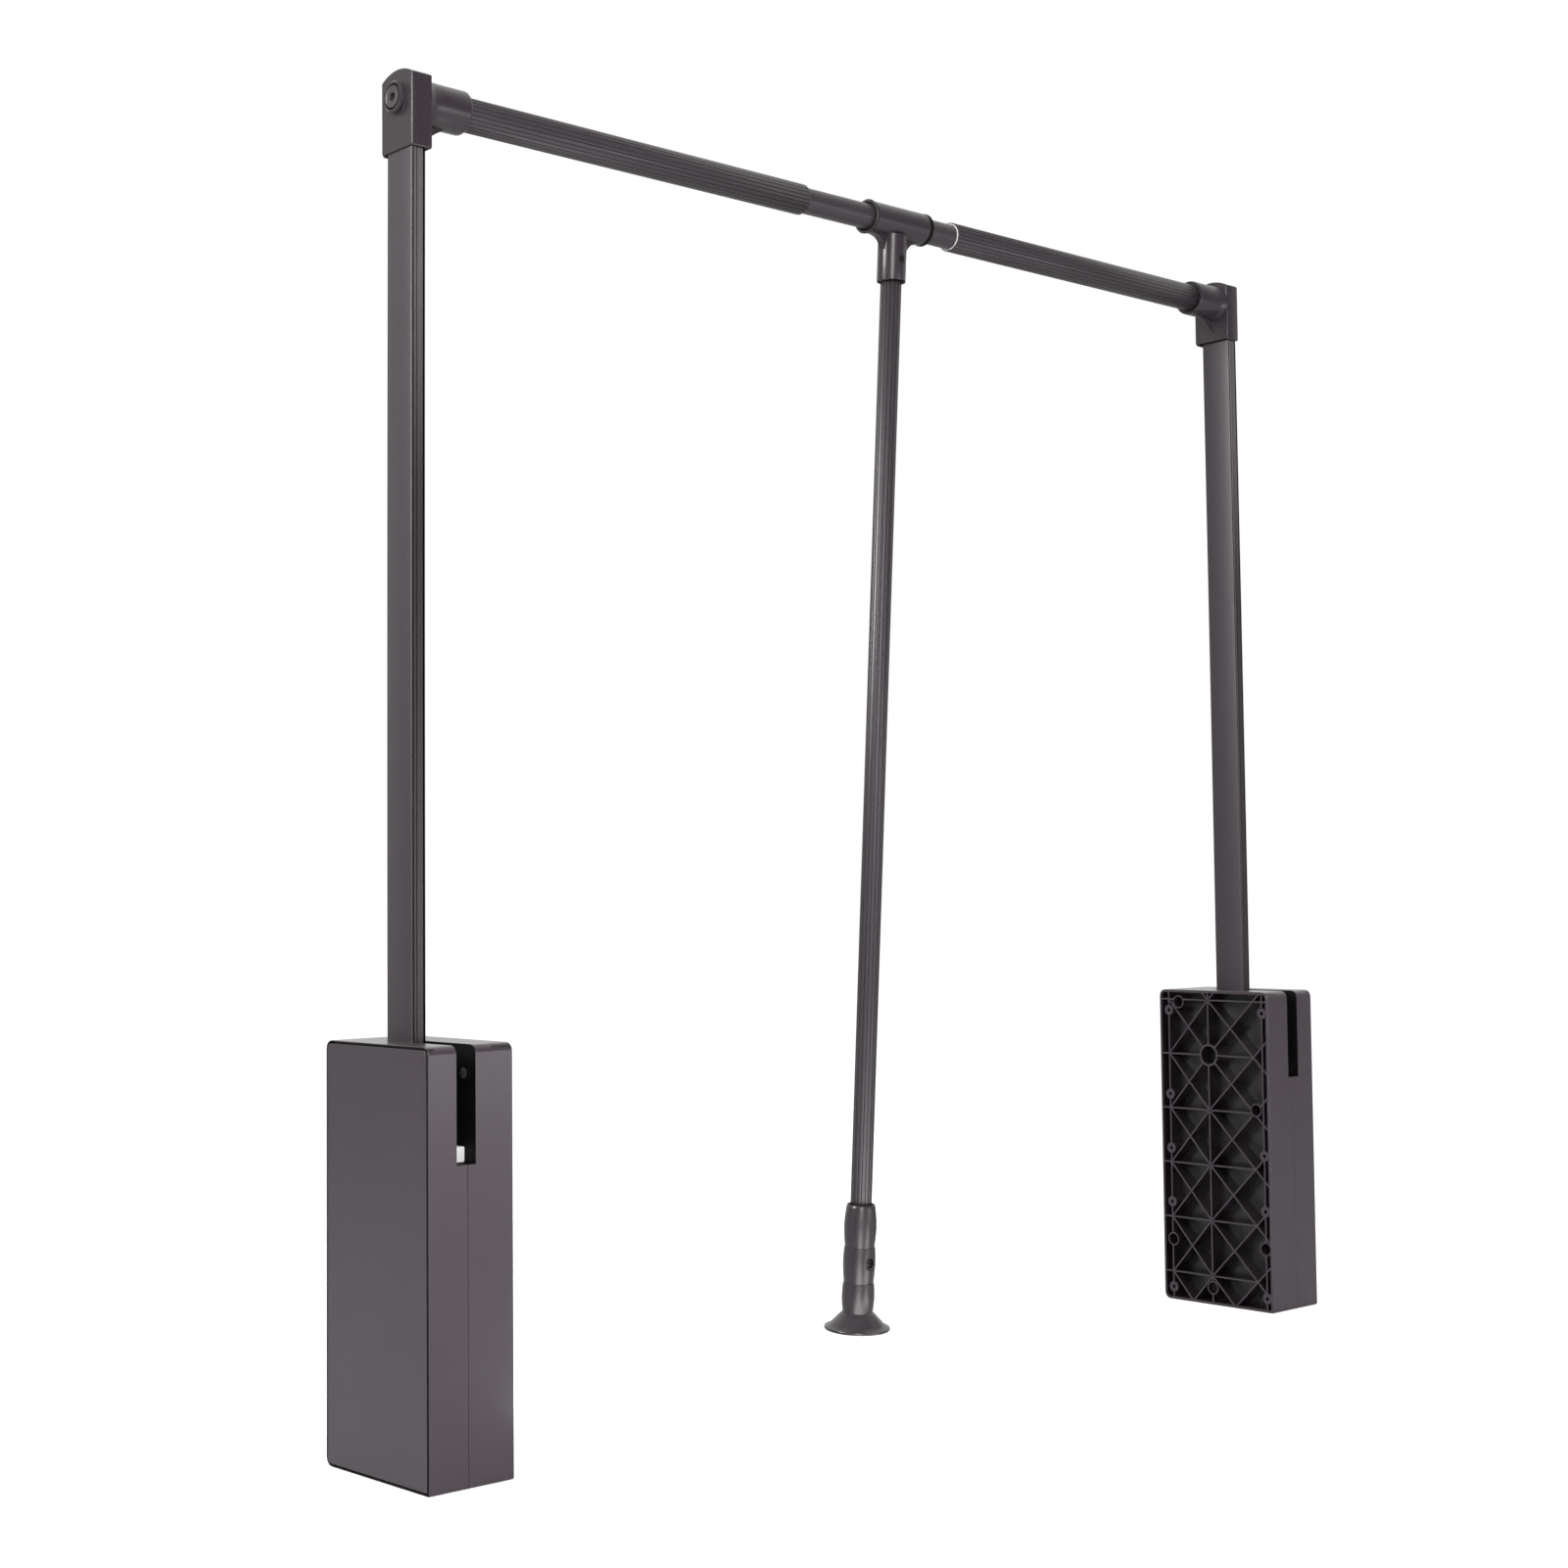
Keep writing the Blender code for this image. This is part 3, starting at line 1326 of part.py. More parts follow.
def build_tee_collars(parent):
    """The two black rubber collars that close the tee's ends and grip the tube."""
    bore = inner_tube_radius + fit_gap
    groove = tee_radius - collar_groove_depth
    for direction, name, body_end, end, radius in (
            (-1, "tee_left_collar", tee_offset - tee_left_length, tee_left_end, left_collar_radius),
            (1, "tee_right_collar", tee_offset + tee_right_length, tee_right_end, right_collar_radius)):
        face = body_end + direction * fit_gap
        shoulder = face + direction * collar_groove_width
        profile = [
            (face, bore), (face, groove), (shoulder, groove), (shoulder, radius), (end, radius),
            (end, collar_mouth_radius), (end - direction * collar_mouth_depth, bore),
        ]
        finish(turned(profile, "X", bar_point, fine_sides), name, "black_rubber", parent)


def build_pull_rod(parent):
    """The long fluted pull rod, with holes for its two screws."""
    centre = (tee_offset, arm_set_back)
    top = bar_height - sleeve_bore_top - fit_gap
    bottom = bar_height - pull_rod_reach + grip_floor + fit_gap
    item = tube_prism(
        fluted_circle(centre, pull_rod_radius, pull_rod_flute_depth, pull_rod_flute_count),
        plain_circle(centre, pull_rod_radius - pull_rod_wall, pull_rod_flute_count), "Z", bottom, top)
    holes = [rod("Y", (tee_offset, bar_height - drop), arm_set_back - pull_rod_radius - cut_overrun,
                 arm_set_back - fit_gap, small_screw_radius + fit_gap, small_sides)
             for drop in (tee_screw_drop, grip_top_drop() + grip_screw_drop)]
    cut(item, *holes)
    return finish(item, "pull_rod", "graphite_enamel", parent)


def grip_top_drop():
    """Drop of the grip's top below the crossbar's axis."""
    return pull_rod_reach - grip_length


def grip_profile():
    """The grip's outer profile from its top down: three bulges, a flare and a thin disc."""
    height = bar_height - grip_top_drop()
    start_radius = grip_top_radius
    profile = [(height, start_radius)]
    for length, end_radius in zip(bulge_lengths, waist_radii):
        for step in range(1, bulge_steps + 1):
            share = step / bulge_steps
            straight = start_radius + (end_radius - start_radius) * share
            swell = (bulge_radius - (start_radius + end_radius) / 2) * math.sin(math.pi * share)
            profile.append((height - share * length, straight + swell))
        height -= length
        start_radius = end_radius + waist_step
        profile.append((height, start_radius))
    bottom = bar_height - pull_rod_reach
    profile += [(bottom + disc_thickness, flare_foot_radius), (bottom + disc_rim_thickness, disc_radius),
                (bottom, disc_radius - fit_gap)]
    return profile


def build_grip(parent):
    """The moulded handle, closed at its foot, with a well for the rod."""
    top = bar_height - grip_top_drop()
    bottom = bar_height - pull_rod_reach
    bore = pull_rod_radius + fit_gap
    floor = bottom + grip_floor
    profile = [(floor, 0), (floor, bore), (top, bore)] + grip_profile() + [(bottom, 0)]
    item = turned(profile, "Z", (tee_offset, arm_set_back), fine_sides)
    cut(item, screw_well(grip_top_drop() + grip_screw_drop, bulge_radius))
    return finish(item, "grip", "graphite_plastic", parent)


def build_unit(side):
    """One side unit with its arm, damper and crossbar tube."""
    name = side_names[side]
    middle = side_x(side, arm_inset)
    unit = axis_empty(name + "_unit_base", (middle, 0, 0))
    arm = axis_empty(name + "_arm_axis", (middle, *pivot_point))
    damper = axis_empty(name + "_damper_axis", (side_x(side, damper_inset), *lower_pin_point))
    ram = axis_empty(name + "_damper_slide", (side_x(side, damper_inset), *crank_pin_point))
    for build in (build_outer_shell, build_base_shell, build_cover_plate, build_shell_screws,
                  build_cheek_screw, build_stop_block, build_pivot_axle, build_lower_pin,
                  build_return_spring):
        build(side, unit)
    for build in (build_pivot_bush, build_arm_root, build_crank_pin, build_arm_tube,
                  build_arm_strip, build_arm_rivet, build_arm_head, build_head_bolt,
                  build_tube_plug, build_outer_tube, build_guide_bush):
        build(side, arm)
    for build in (build_damper_cylinder, build_damper_gland):
        build(side, damper)
    for build in (build_damper_rod, build_damper_pin):
        build(side, ram)


def build_hanging_parts():
    """The inner tube, and on it the tee with pull rod and grip, leaning back a little."""
    slide = axis_empty("inner_tube_axis", (tee_offset, *bar_point))
    build_inner_tube(slide)
    swing = axis_empty("pull_rod_axis", (tee_offset, *bar_point))
    build_tee(swing)
    build_tee_collars(swing)
    build_pull_rod(swing)
    build_grip(swing)
    finish(front_screw(tee_screw_drop, sleeve_radius), "tee_screw", "black_screw", swing)
    finish(front_screw(grip_top_drop() + grip_screw_drop, bulge_radius), "grip_screw", "black_screw",
           swing)
    swing.rotation_euler = (pull_rod_lean, 0, 0)


clear_scene()
for unit_side in (-1, 1):
    build_unit(unit_side)
build_hanging_parts()
print("least gap between spring turns: %.2f mm" % (spring_gap() * 1000))
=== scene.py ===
"""A pull-down closet rod: two side housings, sprung arms, a telescopic crossbar and a pull rod."""

import json
import math

import bmesh
import bpy
import numpy as np
from mathutils import Matrix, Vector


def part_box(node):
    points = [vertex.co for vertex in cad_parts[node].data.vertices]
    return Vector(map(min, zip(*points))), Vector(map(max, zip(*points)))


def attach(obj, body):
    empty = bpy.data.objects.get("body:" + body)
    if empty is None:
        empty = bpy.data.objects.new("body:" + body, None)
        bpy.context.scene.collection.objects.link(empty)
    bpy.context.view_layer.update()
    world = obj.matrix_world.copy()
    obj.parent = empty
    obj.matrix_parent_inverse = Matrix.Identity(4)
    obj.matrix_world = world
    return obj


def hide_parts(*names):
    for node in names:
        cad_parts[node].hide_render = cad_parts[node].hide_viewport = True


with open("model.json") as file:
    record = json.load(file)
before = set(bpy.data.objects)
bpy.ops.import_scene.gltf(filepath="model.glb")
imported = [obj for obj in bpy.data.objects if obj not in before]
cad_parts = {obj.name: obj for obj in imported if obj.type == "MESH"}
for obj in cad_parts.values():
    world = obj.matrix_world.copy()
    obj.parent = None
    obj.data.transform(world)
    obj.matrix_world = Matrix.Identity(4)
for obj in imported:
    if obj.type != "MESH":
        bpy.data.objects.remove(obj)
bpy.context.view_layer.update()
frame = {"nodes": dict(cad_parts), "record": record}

# The camera stands low in front of the left unit and looks along the crossbar to the right
# unit. Its place was fitted to the housing corners, the arms, the crossbar and the pull rod,
# so that every edge falls where the photograph has it.
image_width = 1601
focal_pixels = 2446.4
axis_row = 769.46
sensor_width = 36.0
camera_place = (-1.43457, -1.42554, 0.41019)
nearest_seen = 0.05
yaw, pitch, roll = math.radians(42.694), math.radians(3.0385), math.radians(-0.6038)
ahead = np.array([math.sin(yaw) * math.cos(pitch), math.cos(yaw) * math.cos(pitch),
                  math.sin(pitch)])
level_right = np.array([math.cos(yaw), -math.sin(yaw), 0.0])
level_up = np.cross(level_right, ahead)
camera_right = level_right * math.cos(roll) + level_up * math.sin(roll)
camera_up = level_up * math.cos(roll) - level_right * math.sin(roll)
scene = bpy.context.scene


def linked(name, data):
    """A new object in the scene that shows the data."""
    item = bpy.data.objects.new(name, data)
    scene.collection.objects.link(item)
    return item


lens = bpy.data.cameras.new("photo_camera")
lens.sensor_width = sensor_width
lens.lens = focal_pixels / image_width * sensor_width
lens.shift_y = (axis_row - image_width / 2) / image_width
lens.clip_start = nearest_seen
camera = linked("photo_camera", lens)
turn = Matrix(np.stack([camera_right, camera_up, -ahead], axis=1).tolist()).to_4x4()
camera.matrix_world = Matrix.Translation(camera_place) @ turn
scene.camera = camera
scene.view_settings.view_transform = "Standard"

# A pale studio sweep under and behind the object. To the camera it is plain white but for
# the soft shadows that the housings throw where they stand; reflections see it a bit dimmer.
sweep_colour = (0.86, 0.855, 0.86, 1.0)
sweep_roughness = 0.9
sweep_glow = 0.72
sweep_half = 9.0
sweep_drop = 0.0005
white = (1.0, 1.0, 1.0, 1.0)


def feed(tree, node, inputs):
    """Sets a node's inputs to values, or links them to outputs."""
    for place, value in inputs.items():
        if isinstance(value, bpy.types.NodeSocket):
            tree.links.new(value, node.inputs[place])
        else:
            node.inputs[place].default_value = value


def fed(tree, kind, inputs, **settings):
    """A new node of a kind, with its settings made and its inputs fed."""
    node = tree.nodes.new(kind)
    for name, value in settings.items():
        setattr(node, name, value)
    feed(tree, node, inputs)
    return node


def maths(tree, operation, *values):
    """A math node's output; each value is a socket or a number."""
    return fed(tree, "ShaderNodeMath", dict(enumerate(values)), operation=operation).outputs[0]


def node_tree(material):
    """A material's nodes, cleared but for its output and its Principled shader."""
    material.use_nodes = True
    tree = material.node_tree
    tree.nodes.clear()
    shader = tree.nodes.new("ShaderNodeBsdfPrincipled")
    fed(tree, "ShaderNodeOutputMaterial", {"Surface": shader.outputs["BSDF"]})
    return tree, shader


sweep_mesh = bpy.data.meshes.new("studio_floor")
corners = np.array([[-1, -1], [1, -1], [1, 1], [-1, 1]]) * sweep_half
sweep_mesh.from_pydata(np.column_stack([corners, np.full(4, -sweep_drop)]).tolist(), [],
                       [(0, 1, 2, 3)])
studio_floor = linked("studio_floor", sweep_mesh)
sweep = bpy.data.materials.new("studio_white")
tree, shader = node_tree(sweep)
camera_ray = fed(tree, "ShaderNodeLightPath", {}).outputs["Is Camera Ray"]
feed(tree, shader, {
    "Base Color": sweep_colour, "Roughness": sweep_roughness, "Specular IOR Level": 0.0,
    "Emission Color": white, "Emission Strength": maths(tree, "MULTIPLY", camera_ray, sweep_glow)})
sweep_mesh.materials.append(sweep)

# Light: a white room that the camera sees at full strength and the object at less, and five
# softboxes. They give the upright round pieces their streaks and the edges that face the camera
# their thin bright lines. Two strips of light on the floor show only in reflections.
room_light = 0.40
backdrop_edge, backdrop_shine = 0.5, 1.0
room_shine = 0.14
softboxes = {  # place, target, width, height, watts
    "camera_softbox": ((-1.60, -2.08, 1.1), (0.0, 0.0, 0.7), 0.66, 1.9, 50.0),
    "left_softbox": ((-2.4, 0.2, 1.7), (0.0, 0.0, 0.8), 0.50, 1.2, 13.0),
    "right_softbox": ((1.1, -2.25, 0.30), (0.0, 0.0, 0.1), 1.30, 0.55, 8.0),
    "streak_softbox": ((-2.35, 0.62, 1.6), (0.0, 0.0, 0.8), 0.40, 1.3, 78.0),
    "top_softbox": ((-0.8, -0.6, 3.2), (0.0, 0.0, 0.5), 2.0, 2.0, 34.0)}
floor_cards = {  # middle, heading in degrees, width, length, watts
    "camera_card": ((-0.149, -0.121), 225.0, 0.10, 0.40, 0.75),
    "right_card": ((0.085, -0.283), 279.0, 0.10, 0.50, 0.80)}
card_lift = 0.001
upward = np.array([0.0, 0.0, 1.0])


def remap(tree, value, source, target=(0.0, 1.0), shape="LINEAR"):
    """A value carried from one range to another."""
    ends = dict(zip(("From Min", "From Max", "To Min", "To Max"), (*source, *target)))
    return fed(tree, "ShaderNodeMapRange", {"Value": value, **ends},
               interpolation_type=shape).outputs["Result"]


def area_lamp(name, place, back, side, width, height, power):
    """A lamp that shines away from back, its width along side."""
    data = bpy.data.lights.new(name, "AREA")
    data.shape = "RECTANGLE"
    data.size, data.size_y = width, height
    data.energy = power
    item = linked(name, data)
    facing = Matrix(np.stack([side, np.cross(back, side), back], axis=1).tolist()).to_4x4()
    item.matrix_world = Matrix.Translation(place) @ facing
    return item


def softbox(name, place, target, width, height, power):
    """An upright lamp that faces a point."""
    back = np.array(place) - np.array(target)
    back /= np.linalg.norm(back)
    side = np.cross(upward, back)
    return area_lamp(name, place, back, side / np.linalg.norm(side), width, height, power)


def floor_card(name, middle, heading, width, length, power):
    """A strip of light on the floor, long along a heading and seen only in reflections."""
    along = np.array([math.cos(math.radians(heading)), math.sin(math.radians(heading)), 0.0])
    item = area_lamp(name, (*middle, card_lift), -upward, np.cross(along, -upward),
                     width, length, power)
    item.visible_camera = item.visible_diffuse = False


world = bpy.data.worlds.new("studio_room")
scene.world = world
world.use_nodes = True
room = world.node_tree
room.nodes.clear()
path = fed(room, "ShaderNodeLightPath", {}).outputs
any_view = path["Is Camera Ray"]
for kind in ("Is Glossy Ray", "Is Transmission Ray"):
    any_view = maths(room, "MAXIMUM", any_view, path[kind])
direction = fed(room, "ShaderNodeTexCoord", {}).outputs["Generated"]
behind = fed(room, "ShaderNodeVectorMath", {0: direction, 1: (ahead[0], ahead[1], 0.0)},
             operation="DOT_PRODUCT").outputs["Value"]
mirrored = remap(room, behind, (0.0, backdrop_edge), (room_shine, backdrop_shine))
shine = remap(room, any_view, (0.0, 1.0), (room_light, mirrored))
level = fed(room, "ShaderNodeMix", {"Factor": path["Is Camera Ray"], "A": shine, "B": 1.0},
            data_type="FLOAT").outputs["Result"]
sky = fed(room, "ShaderNodeBackground", {"Color": white, "Strength": level})
fed(room, "ShaderNodeOutputWorld", {"Surface": sky.outputs["Background"]})

lamps = {name: softbox(name, *values) for name, values in softboxes.items()}
lamps["streak_softbox"].visible_diffuse = False
lamps["top_softbox"].visible_glossy = False
for name, values in floor_cards.items():
    floor_card(name, *values)

# Every moulded or coated piece has a fine grain and a slow drift of tone. One group makes both
# from object coordinates; a second one puts a little pale dust on what faces up.
grain_size, grain_detail = 0.0009, 2.0
grain_low, grain_high = 0.3, 0.7
grain_depth, fine_depth, bump_strength = 0.00002, 0.00001, 0.6
mottle_size, mottle_detail = 0.06, 3.0
dust_size, dust_detail = 0.008, 4.0
dust_share, dust_blend = 0.10, 0.1
dust_colour = (0.42, 0.41, 0.40)
coat_roughness = 0.16


def product(tree, first, *rest):
    """The product of several values."""
    for value in rest:
        first = maths(tree, "MULTIPLY", first, value)
    return first


def object_place(tree):
    """Coordinates in the object's own frame."""
    return fed(tree, "ShaderNodeTexCoord", {}).outputs["Object"]


def split(tree, vector):
    """A vector's parts, by the names of their axes."""
    return fed(tree, "ShaderNodeSeparateXYZ", {0: vector}).outputs


def noise(tree, vector, scale, detail):
    """A noise value on given coordinates."""
    inputs = {"Vector": vector, "Scale": scale, "Detail": detail}
    return fed(tree, "ShaderNodeTexNoise", inputs).outputs["Fac"]


def shader_group(name, inputs, outputs):
    """An empty shader group with float sockets; inputs gives each one's value."""
    group = bpy.data.node_groups.new(name, "ShaderNodeTree")
    for label, value in inputs.items():
        socket = group.interface.new_socket(label, in_out="INPUT", socket_type="NodeSocketFloat")
        socket.default_value = value
    for label in outputs:
        group.interface.new_socket(label, in_out="OUTPUT", socket_type="NodeSocketFloat")
    given = group.nodes.new("NodeGroupInput").outputs
    return group, given, group.nodes.new("NodeGroupOutput")


sizes = {"Grain Size": grain_size, "Mottle Size": mottle_size}
grain, given, out = shader_group("moulded_grain", sizes, ("Height", "Mottle"))
place = object_place(grain)
for label, size, detail in (("Height", "Grain Size", grain_detail),
                            ("Mottle", "Mottle Size", mottle_detail)):
    scale = maths(grain, "DIVIDE", 1.0, given[size])
    feed(grain, out, {label: noise(grain, place, scale, detail)})

dust, given, out = shader_group("settled_dust", {"Amount": dust_share}, ("Mask",))
normal = fed(dust, "ShaderNodeNewGeometry", {}).outputs["Normal"]
facing_up = maths(dust, "SMOOTH_MAX", split(dust, normal)["Z"], 0.0, dust_blend)
patches = noise(dust, object_place(dust), 1.0 / dust_size, dust_detail)
feed(dust, out, {"Mask": product(dust, facing_up, patches, given["Amount"])})


def mixed(tree, factor, first, second):
    """A colour mix's output; each colour is a socket or three numbers."""
    colours = [[*c, 1.0] if isinstance(c, (tuple, list)) else c for c in (first, second)]
    inputs = dict(zip(("Fac", "Color1", "Color2"), (factor, *colours)))
    return fed(tree, "ShaderNodeMixRGB", inputs).outputs["Color"]


def grained(name, colour, roughness, spread, metallic=0.0, size=grain_size, depth=grain_depth,
            mottle=0.06, specular=0.5, dusty=dust_share, coat=0.0, shade=None):
    """A finish whose tone and roughness drift, with a fine grain, a little dust, and where shade
    is given, painted shade laid over the tone by a mask."""
    material = bpy.data.materials.new(name)
    tree, shader = node_tree(material)
    texture = fed(tree, "ShaderNodeGroup", {"Grain Size": size}, node_tree=grain).outputs
    settled = fed(tree, "ShaderNodeGroup", {"Amount": dusty}, node_tree=dust).outputs["Mask"]
    tone = mixed(tree, texture["Mottle"], [c * (1 - mottle) for c in colour],
                 [c * (1 + mottle) for c in colour])
    tone = mixed(tree, settled, tone, dust_colour)
    if shade is not None:
        tone = shade(tree, tone)
    rough = remap(tree, texture["Height"], (grain_low, grain_high),
                  (roughness - spread, roughness + spread))
    bump = fed(tree, "ShaderNodeBump", {"Strength": bump_strength, "Distance": depth,
                                        "Height": texture["Height"]})
    feed(tree, shader, {
        "Base Color": tone, "Roughness": rough, "Normal": bump.outputs["Normal"],
        "Metallic": metallic, "Specular IOR Level": specular, "Coat Weight": coat,
        "Coat Roughness": coat_roughness})
    return material


# The housings: two moulded shells of graphite plastic a side, parted in a plane. The outer one
# is plain, the inner one carries the ribbed mounting face; both are open at the arm's slot, whose
# inside is painted nearly black as painted shade. The shells keep the CAD's shape and get finely
# rounded edges. Painted shade also darkens the tray round the cover, the pockets between the ribs
# and spots at the ribs' nodes.
overall_width = 1.018
housing_height = 0.300
housing_depth = 0.128
housing_thickness = 0.0705
slot_near, slot_far, slot_rear = 0.0234, 0.0392, 0.0237
slot_floor = 0.2186
slot_fade = 0.0012
slot_run = slot_rear + housing_depth / 2 - slot_fade / 2
slot_middle = slot_rear + slot_fade / 3 - slot_run / 2
# Painted shade in the pockets, patchy, and in the tray round the cover; painted dark spots at the
# ribs' nodes stand in for dimples.
pocket_start, pocket_full, pocket_end, pocket_floor = 0.00025, 0.0010, 0.0165, 0.0170
pocket_border, pocket_share = (0.0004, 0.0014), 0.93
patch_scale, patch_detail, patch_gain, patch_base = 26.0, 2.0, 0.7, 0.55
tray_start, tray_full, tray_end, tray_floor = 0.0003, 0.0008, 0.0060, 0.0065
tray_border = (0.0010, 0.0012)
rib_pitch, pivot_height, pivot_back = 0.0527, 0.238, 0.006
dimple_radius, dimple_core, dimple_start, dimple_full = 0.0018, 0.00144, 0.0010, 0.0005
rim_painted_shade_depth = 0.0002
shell_edge, edge_segments, edge_angle = 0.00035, 2, 35.0
flat_angle, sharp_angle = 0.3, 34.0
area_weight = 100
merge_distance = 0.000002
plastic_colour = (0.0365, 0.0255, 0.0345)
plastic_look = {"roughness": 0.38, "spread": 0.04, "specular": 0.45, "coat": 0.35}
deep_shade = 0.04
sides = ((-1, "left"), (1, "right"))


def side_x(side, inset):
    """X of a plane that lies inset from the outer face of the unit on that side."""
    return side * (overall_width / 2 - inset)


def ramp(tree, value, start, end):
    """A value turned into a smooth share from 0 at start to 1 at end."""
    return remap(tree, value, (start, end), shape="SMOOTHSTEP")


def window(tree, value, low, low_full, high_full, high):
    """One between the two full values, falling smoothly to zero at low and at high."""
    return product(tree, ramp(tree, value, low, low_full), ramp(tree, value, high, high_full))


def housing_painted_shade(tree, tone):
    """Painted shade: darkens the slot, the tray's rim, the pockets between the ribs in patches, and
    spots at the ribs' nodes in place of dimples.
    """
    place = object_place(tree)
    axes = split(tree, place)
    y, z = axes["Y"], axes["Z"]
    inset = maths(tree, "SUBTRACT", overall_width / 2, maths(tree, "ABSOLUTE", axes["X"]))
    half = housing_depth / 2

    def within(start, full):
        """One inside the housing's side outline, falling to zero towards it."""
        return product(tree, window(tree, y, start - half, full - half, half - full, half - start),
                       window(tree, z, start, full, housing_height - full, housing_height - start))

    slot = product(
        tree, window(tree, inset, slot_near - slot_fade / 2, slot_near, slot_far,
                     slot_far + slot_fade / 2),
        window(tree, z, slot_floor - slot_fade, slot_floor, housing_height - slot_fade,
               housing_height),
        window(tree, y, -half, slot_fade - half, slot_rear + slot_fade / 3, slot_rear + slot_fade))
    depths = (housing_thickness - d for d in (pocket_floor, pocket_end, pocket_full, pocket_start))
    patches = maths(tree, "MULTIPLY_ADD", noise(tree, place, patch_scale, patch_detail),
                    patch_gain, patch_base)
    pockets = product(tree, window(tree, inset, *depths), within(*pocket_border), patches)
    pockets = product(tree, maths(tree, "MINIMUM", pockets, 1.0), pocket_share)
    tray = product(tree, window(tree, inset, tray_start, tray_full, tray_end, tray_floor),
                   within(*tray_border))
    off_y = maths(tree, "SUBTRACT", y, pivot_back)
    off_z = maths(tree, "PINGPONG", maths(tree, "SUBTRACT", z, pivot_height), rib_pitch / 2)
    off = maths(tree, "ADD", product(tree, off_y, off_y), product(tree, off_z, off_z))
    dimples = product(
        tree, ramp(tree, maths(tree, "SQRT", off), dimple_radius, dimple_core),
        ramp(tree, inset, housing_thickness - dimple_start, housing_thickness - dimple_full))
    dark = slot
    for part in (pockets, tray, dimples):
        dark = maths(tree, "MAXIMUM", dark, part)
    return mixed(tree, dark, tone, [c * deep_shade for c in plastic_colour])


def smooth_sharp(item, degrees=sharp_angle):
    """Smooth shading that stays crisp over sharp edges."""
    item.data.shade_smooth()
    item.data.set_sharp_from_angle(angle=math.radians(degrees))


def merged_copy(name, node, width):
    """A CAD node's mesh with its loose triangles merged into faces and its edges rounded."""
    mesh = frame["nodes"][node].data.copy()
    mesh.name = name
    work = bmesh.new()
    work.from_mesh(mesh)
    bmesh.ops.remove_doubles(work, verts=work.verts, dist=merge_distance)
    bmesh.ops.dissolve_limit(work, verts=work.verts, edges=work.edges,
                             angle_limit=math.radians(flat_angle))
    work.to_mesh(mesh)
    work.free()
    item = linked(name, mesh)
    bevel = item.modifiers.new("edges", "BEVEL")
    bevel.width = width
    bevel.segments = edge_segments
    bevel.limit_method = "ANGLE"
    bevel.angle_limit = math.radians(edge_angle)
    smooth_sharp(item)
    normals = item.modifiers.new("normals", "WEIGHTED_NORMAL")
    normals.weight = area_weight
    normals.keep_sharp = True
    return item


def fit(item, node, body, material):
    """Put a finished piece in place of its CAD node, on that node's body."""
    item.data.materials.clear()
    item.data.materials.append(material)
    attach(item, body)
    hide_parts(node)


def in_slot(centre):
    """True for faces inside the arm's slot."""
    inset, height = overall_width / 2 - np.abs(centre[:, 0]), centre[:, 2]
    across = (inset > slot_near - slot_fade / 3) & (inset < slot_far + slot_fade / 3)
    between = (height > slot_floor - slot_fade / 3) & (height < housing_height - slot_fade)
    return across & between & (np.abs(centre[:, 1] - slot_middle) < slot_run / 2)


housing_plastic = grained("graphite_plastic_housing", plastic_colour, shade=housing_painted_shade,
                          **plastic_look)
graphite_plastic = grained("graphite_plastic_cover", plastic_colour, **plastic_look)
gloss_plastic = grained("graphite_plastic_moulded", (0.030, 0.023, 0.028), 0.30, 0.03,
                        depth=fine_depth)
# Painted shade: a near-black for faces that stand in shade, in slots, gaps, grooves and holes.
painted_shade_black = grained("painted_shade_gap_black", (0.003, 0.003, 0.003), 0.60, 0.05, specular=0.1, dusty=0.0)


def paint_shade_on_faces(item, test, dark=painted_shade_black):
    """Gives painted shade, a near-black, to the faces whose centres pass a test."""
    faces = item.data.polygons
    centres = np.empty(len(faces) * 3)
    faces.foreach_get("center", centres)
    item.data.materials.append(dark)
    current = np.empty(len(faces), np.int32)
    faces.foreach_get("material_index", current)
    sunk = np.where(test(centres.reshape(-1, 3)), len(item.data.materials) - 1, current)
    faces.foreach_set("material_index", sunk.astype(np.int32))


for side, name in sides:
    for shell in ("outer_shell", "base_shell"):
        piece = merged_copy(name + "_housing_" + shell, name + "_" + shell, shell_edge)
        fit(piece, name + "_" + shell, name + "_unit", housing_plastic)
        # Painted shade: the faces inside the slot are painted black, and so is the outer shell's
        # rim face round the cover, for a dark hairline at the cover's edge.
        paint_shade_on_faces(piece, in_slot)
        if shell == "outer_shell":
            paint_shade_on_faces(piece, lambda at: np.abs(at[:, 0]) > overall_width / 2 - rim_painted_shade_depth)

# The cover plates: flat mouldings of the same plastic, pressed into the outer shells' trays
# so that only a hairline shows around them; their edge walls are painted black as painted
# shade for that hairline. Their front foot corner is nearly sharp.
cover_gap = 0.0022
cover_thickness = 0.003
cover_edge, cover_painted_shade_depth = 0.0003, 0.00021
cover_radii = (0.0009, 0.0038, 0.0038, 0.0038)
corner_points, edge_points = 10, 4
bend = np.linspace(0.0, math.pi / 2, edge_points)
cap_corners, cap_margin = 8, 0.0001
tiny = 1e-12
sharpest = 0.5


def corner_arc(centre, radius, start, end, count):
    """Points on an arc in a plane, both ends included."""
    angle = np.linspace(start, end, count)
    return np.column_stack([centre[0] + radius * np.cos(angle), centre[1] + radius * np.sin(angle)])


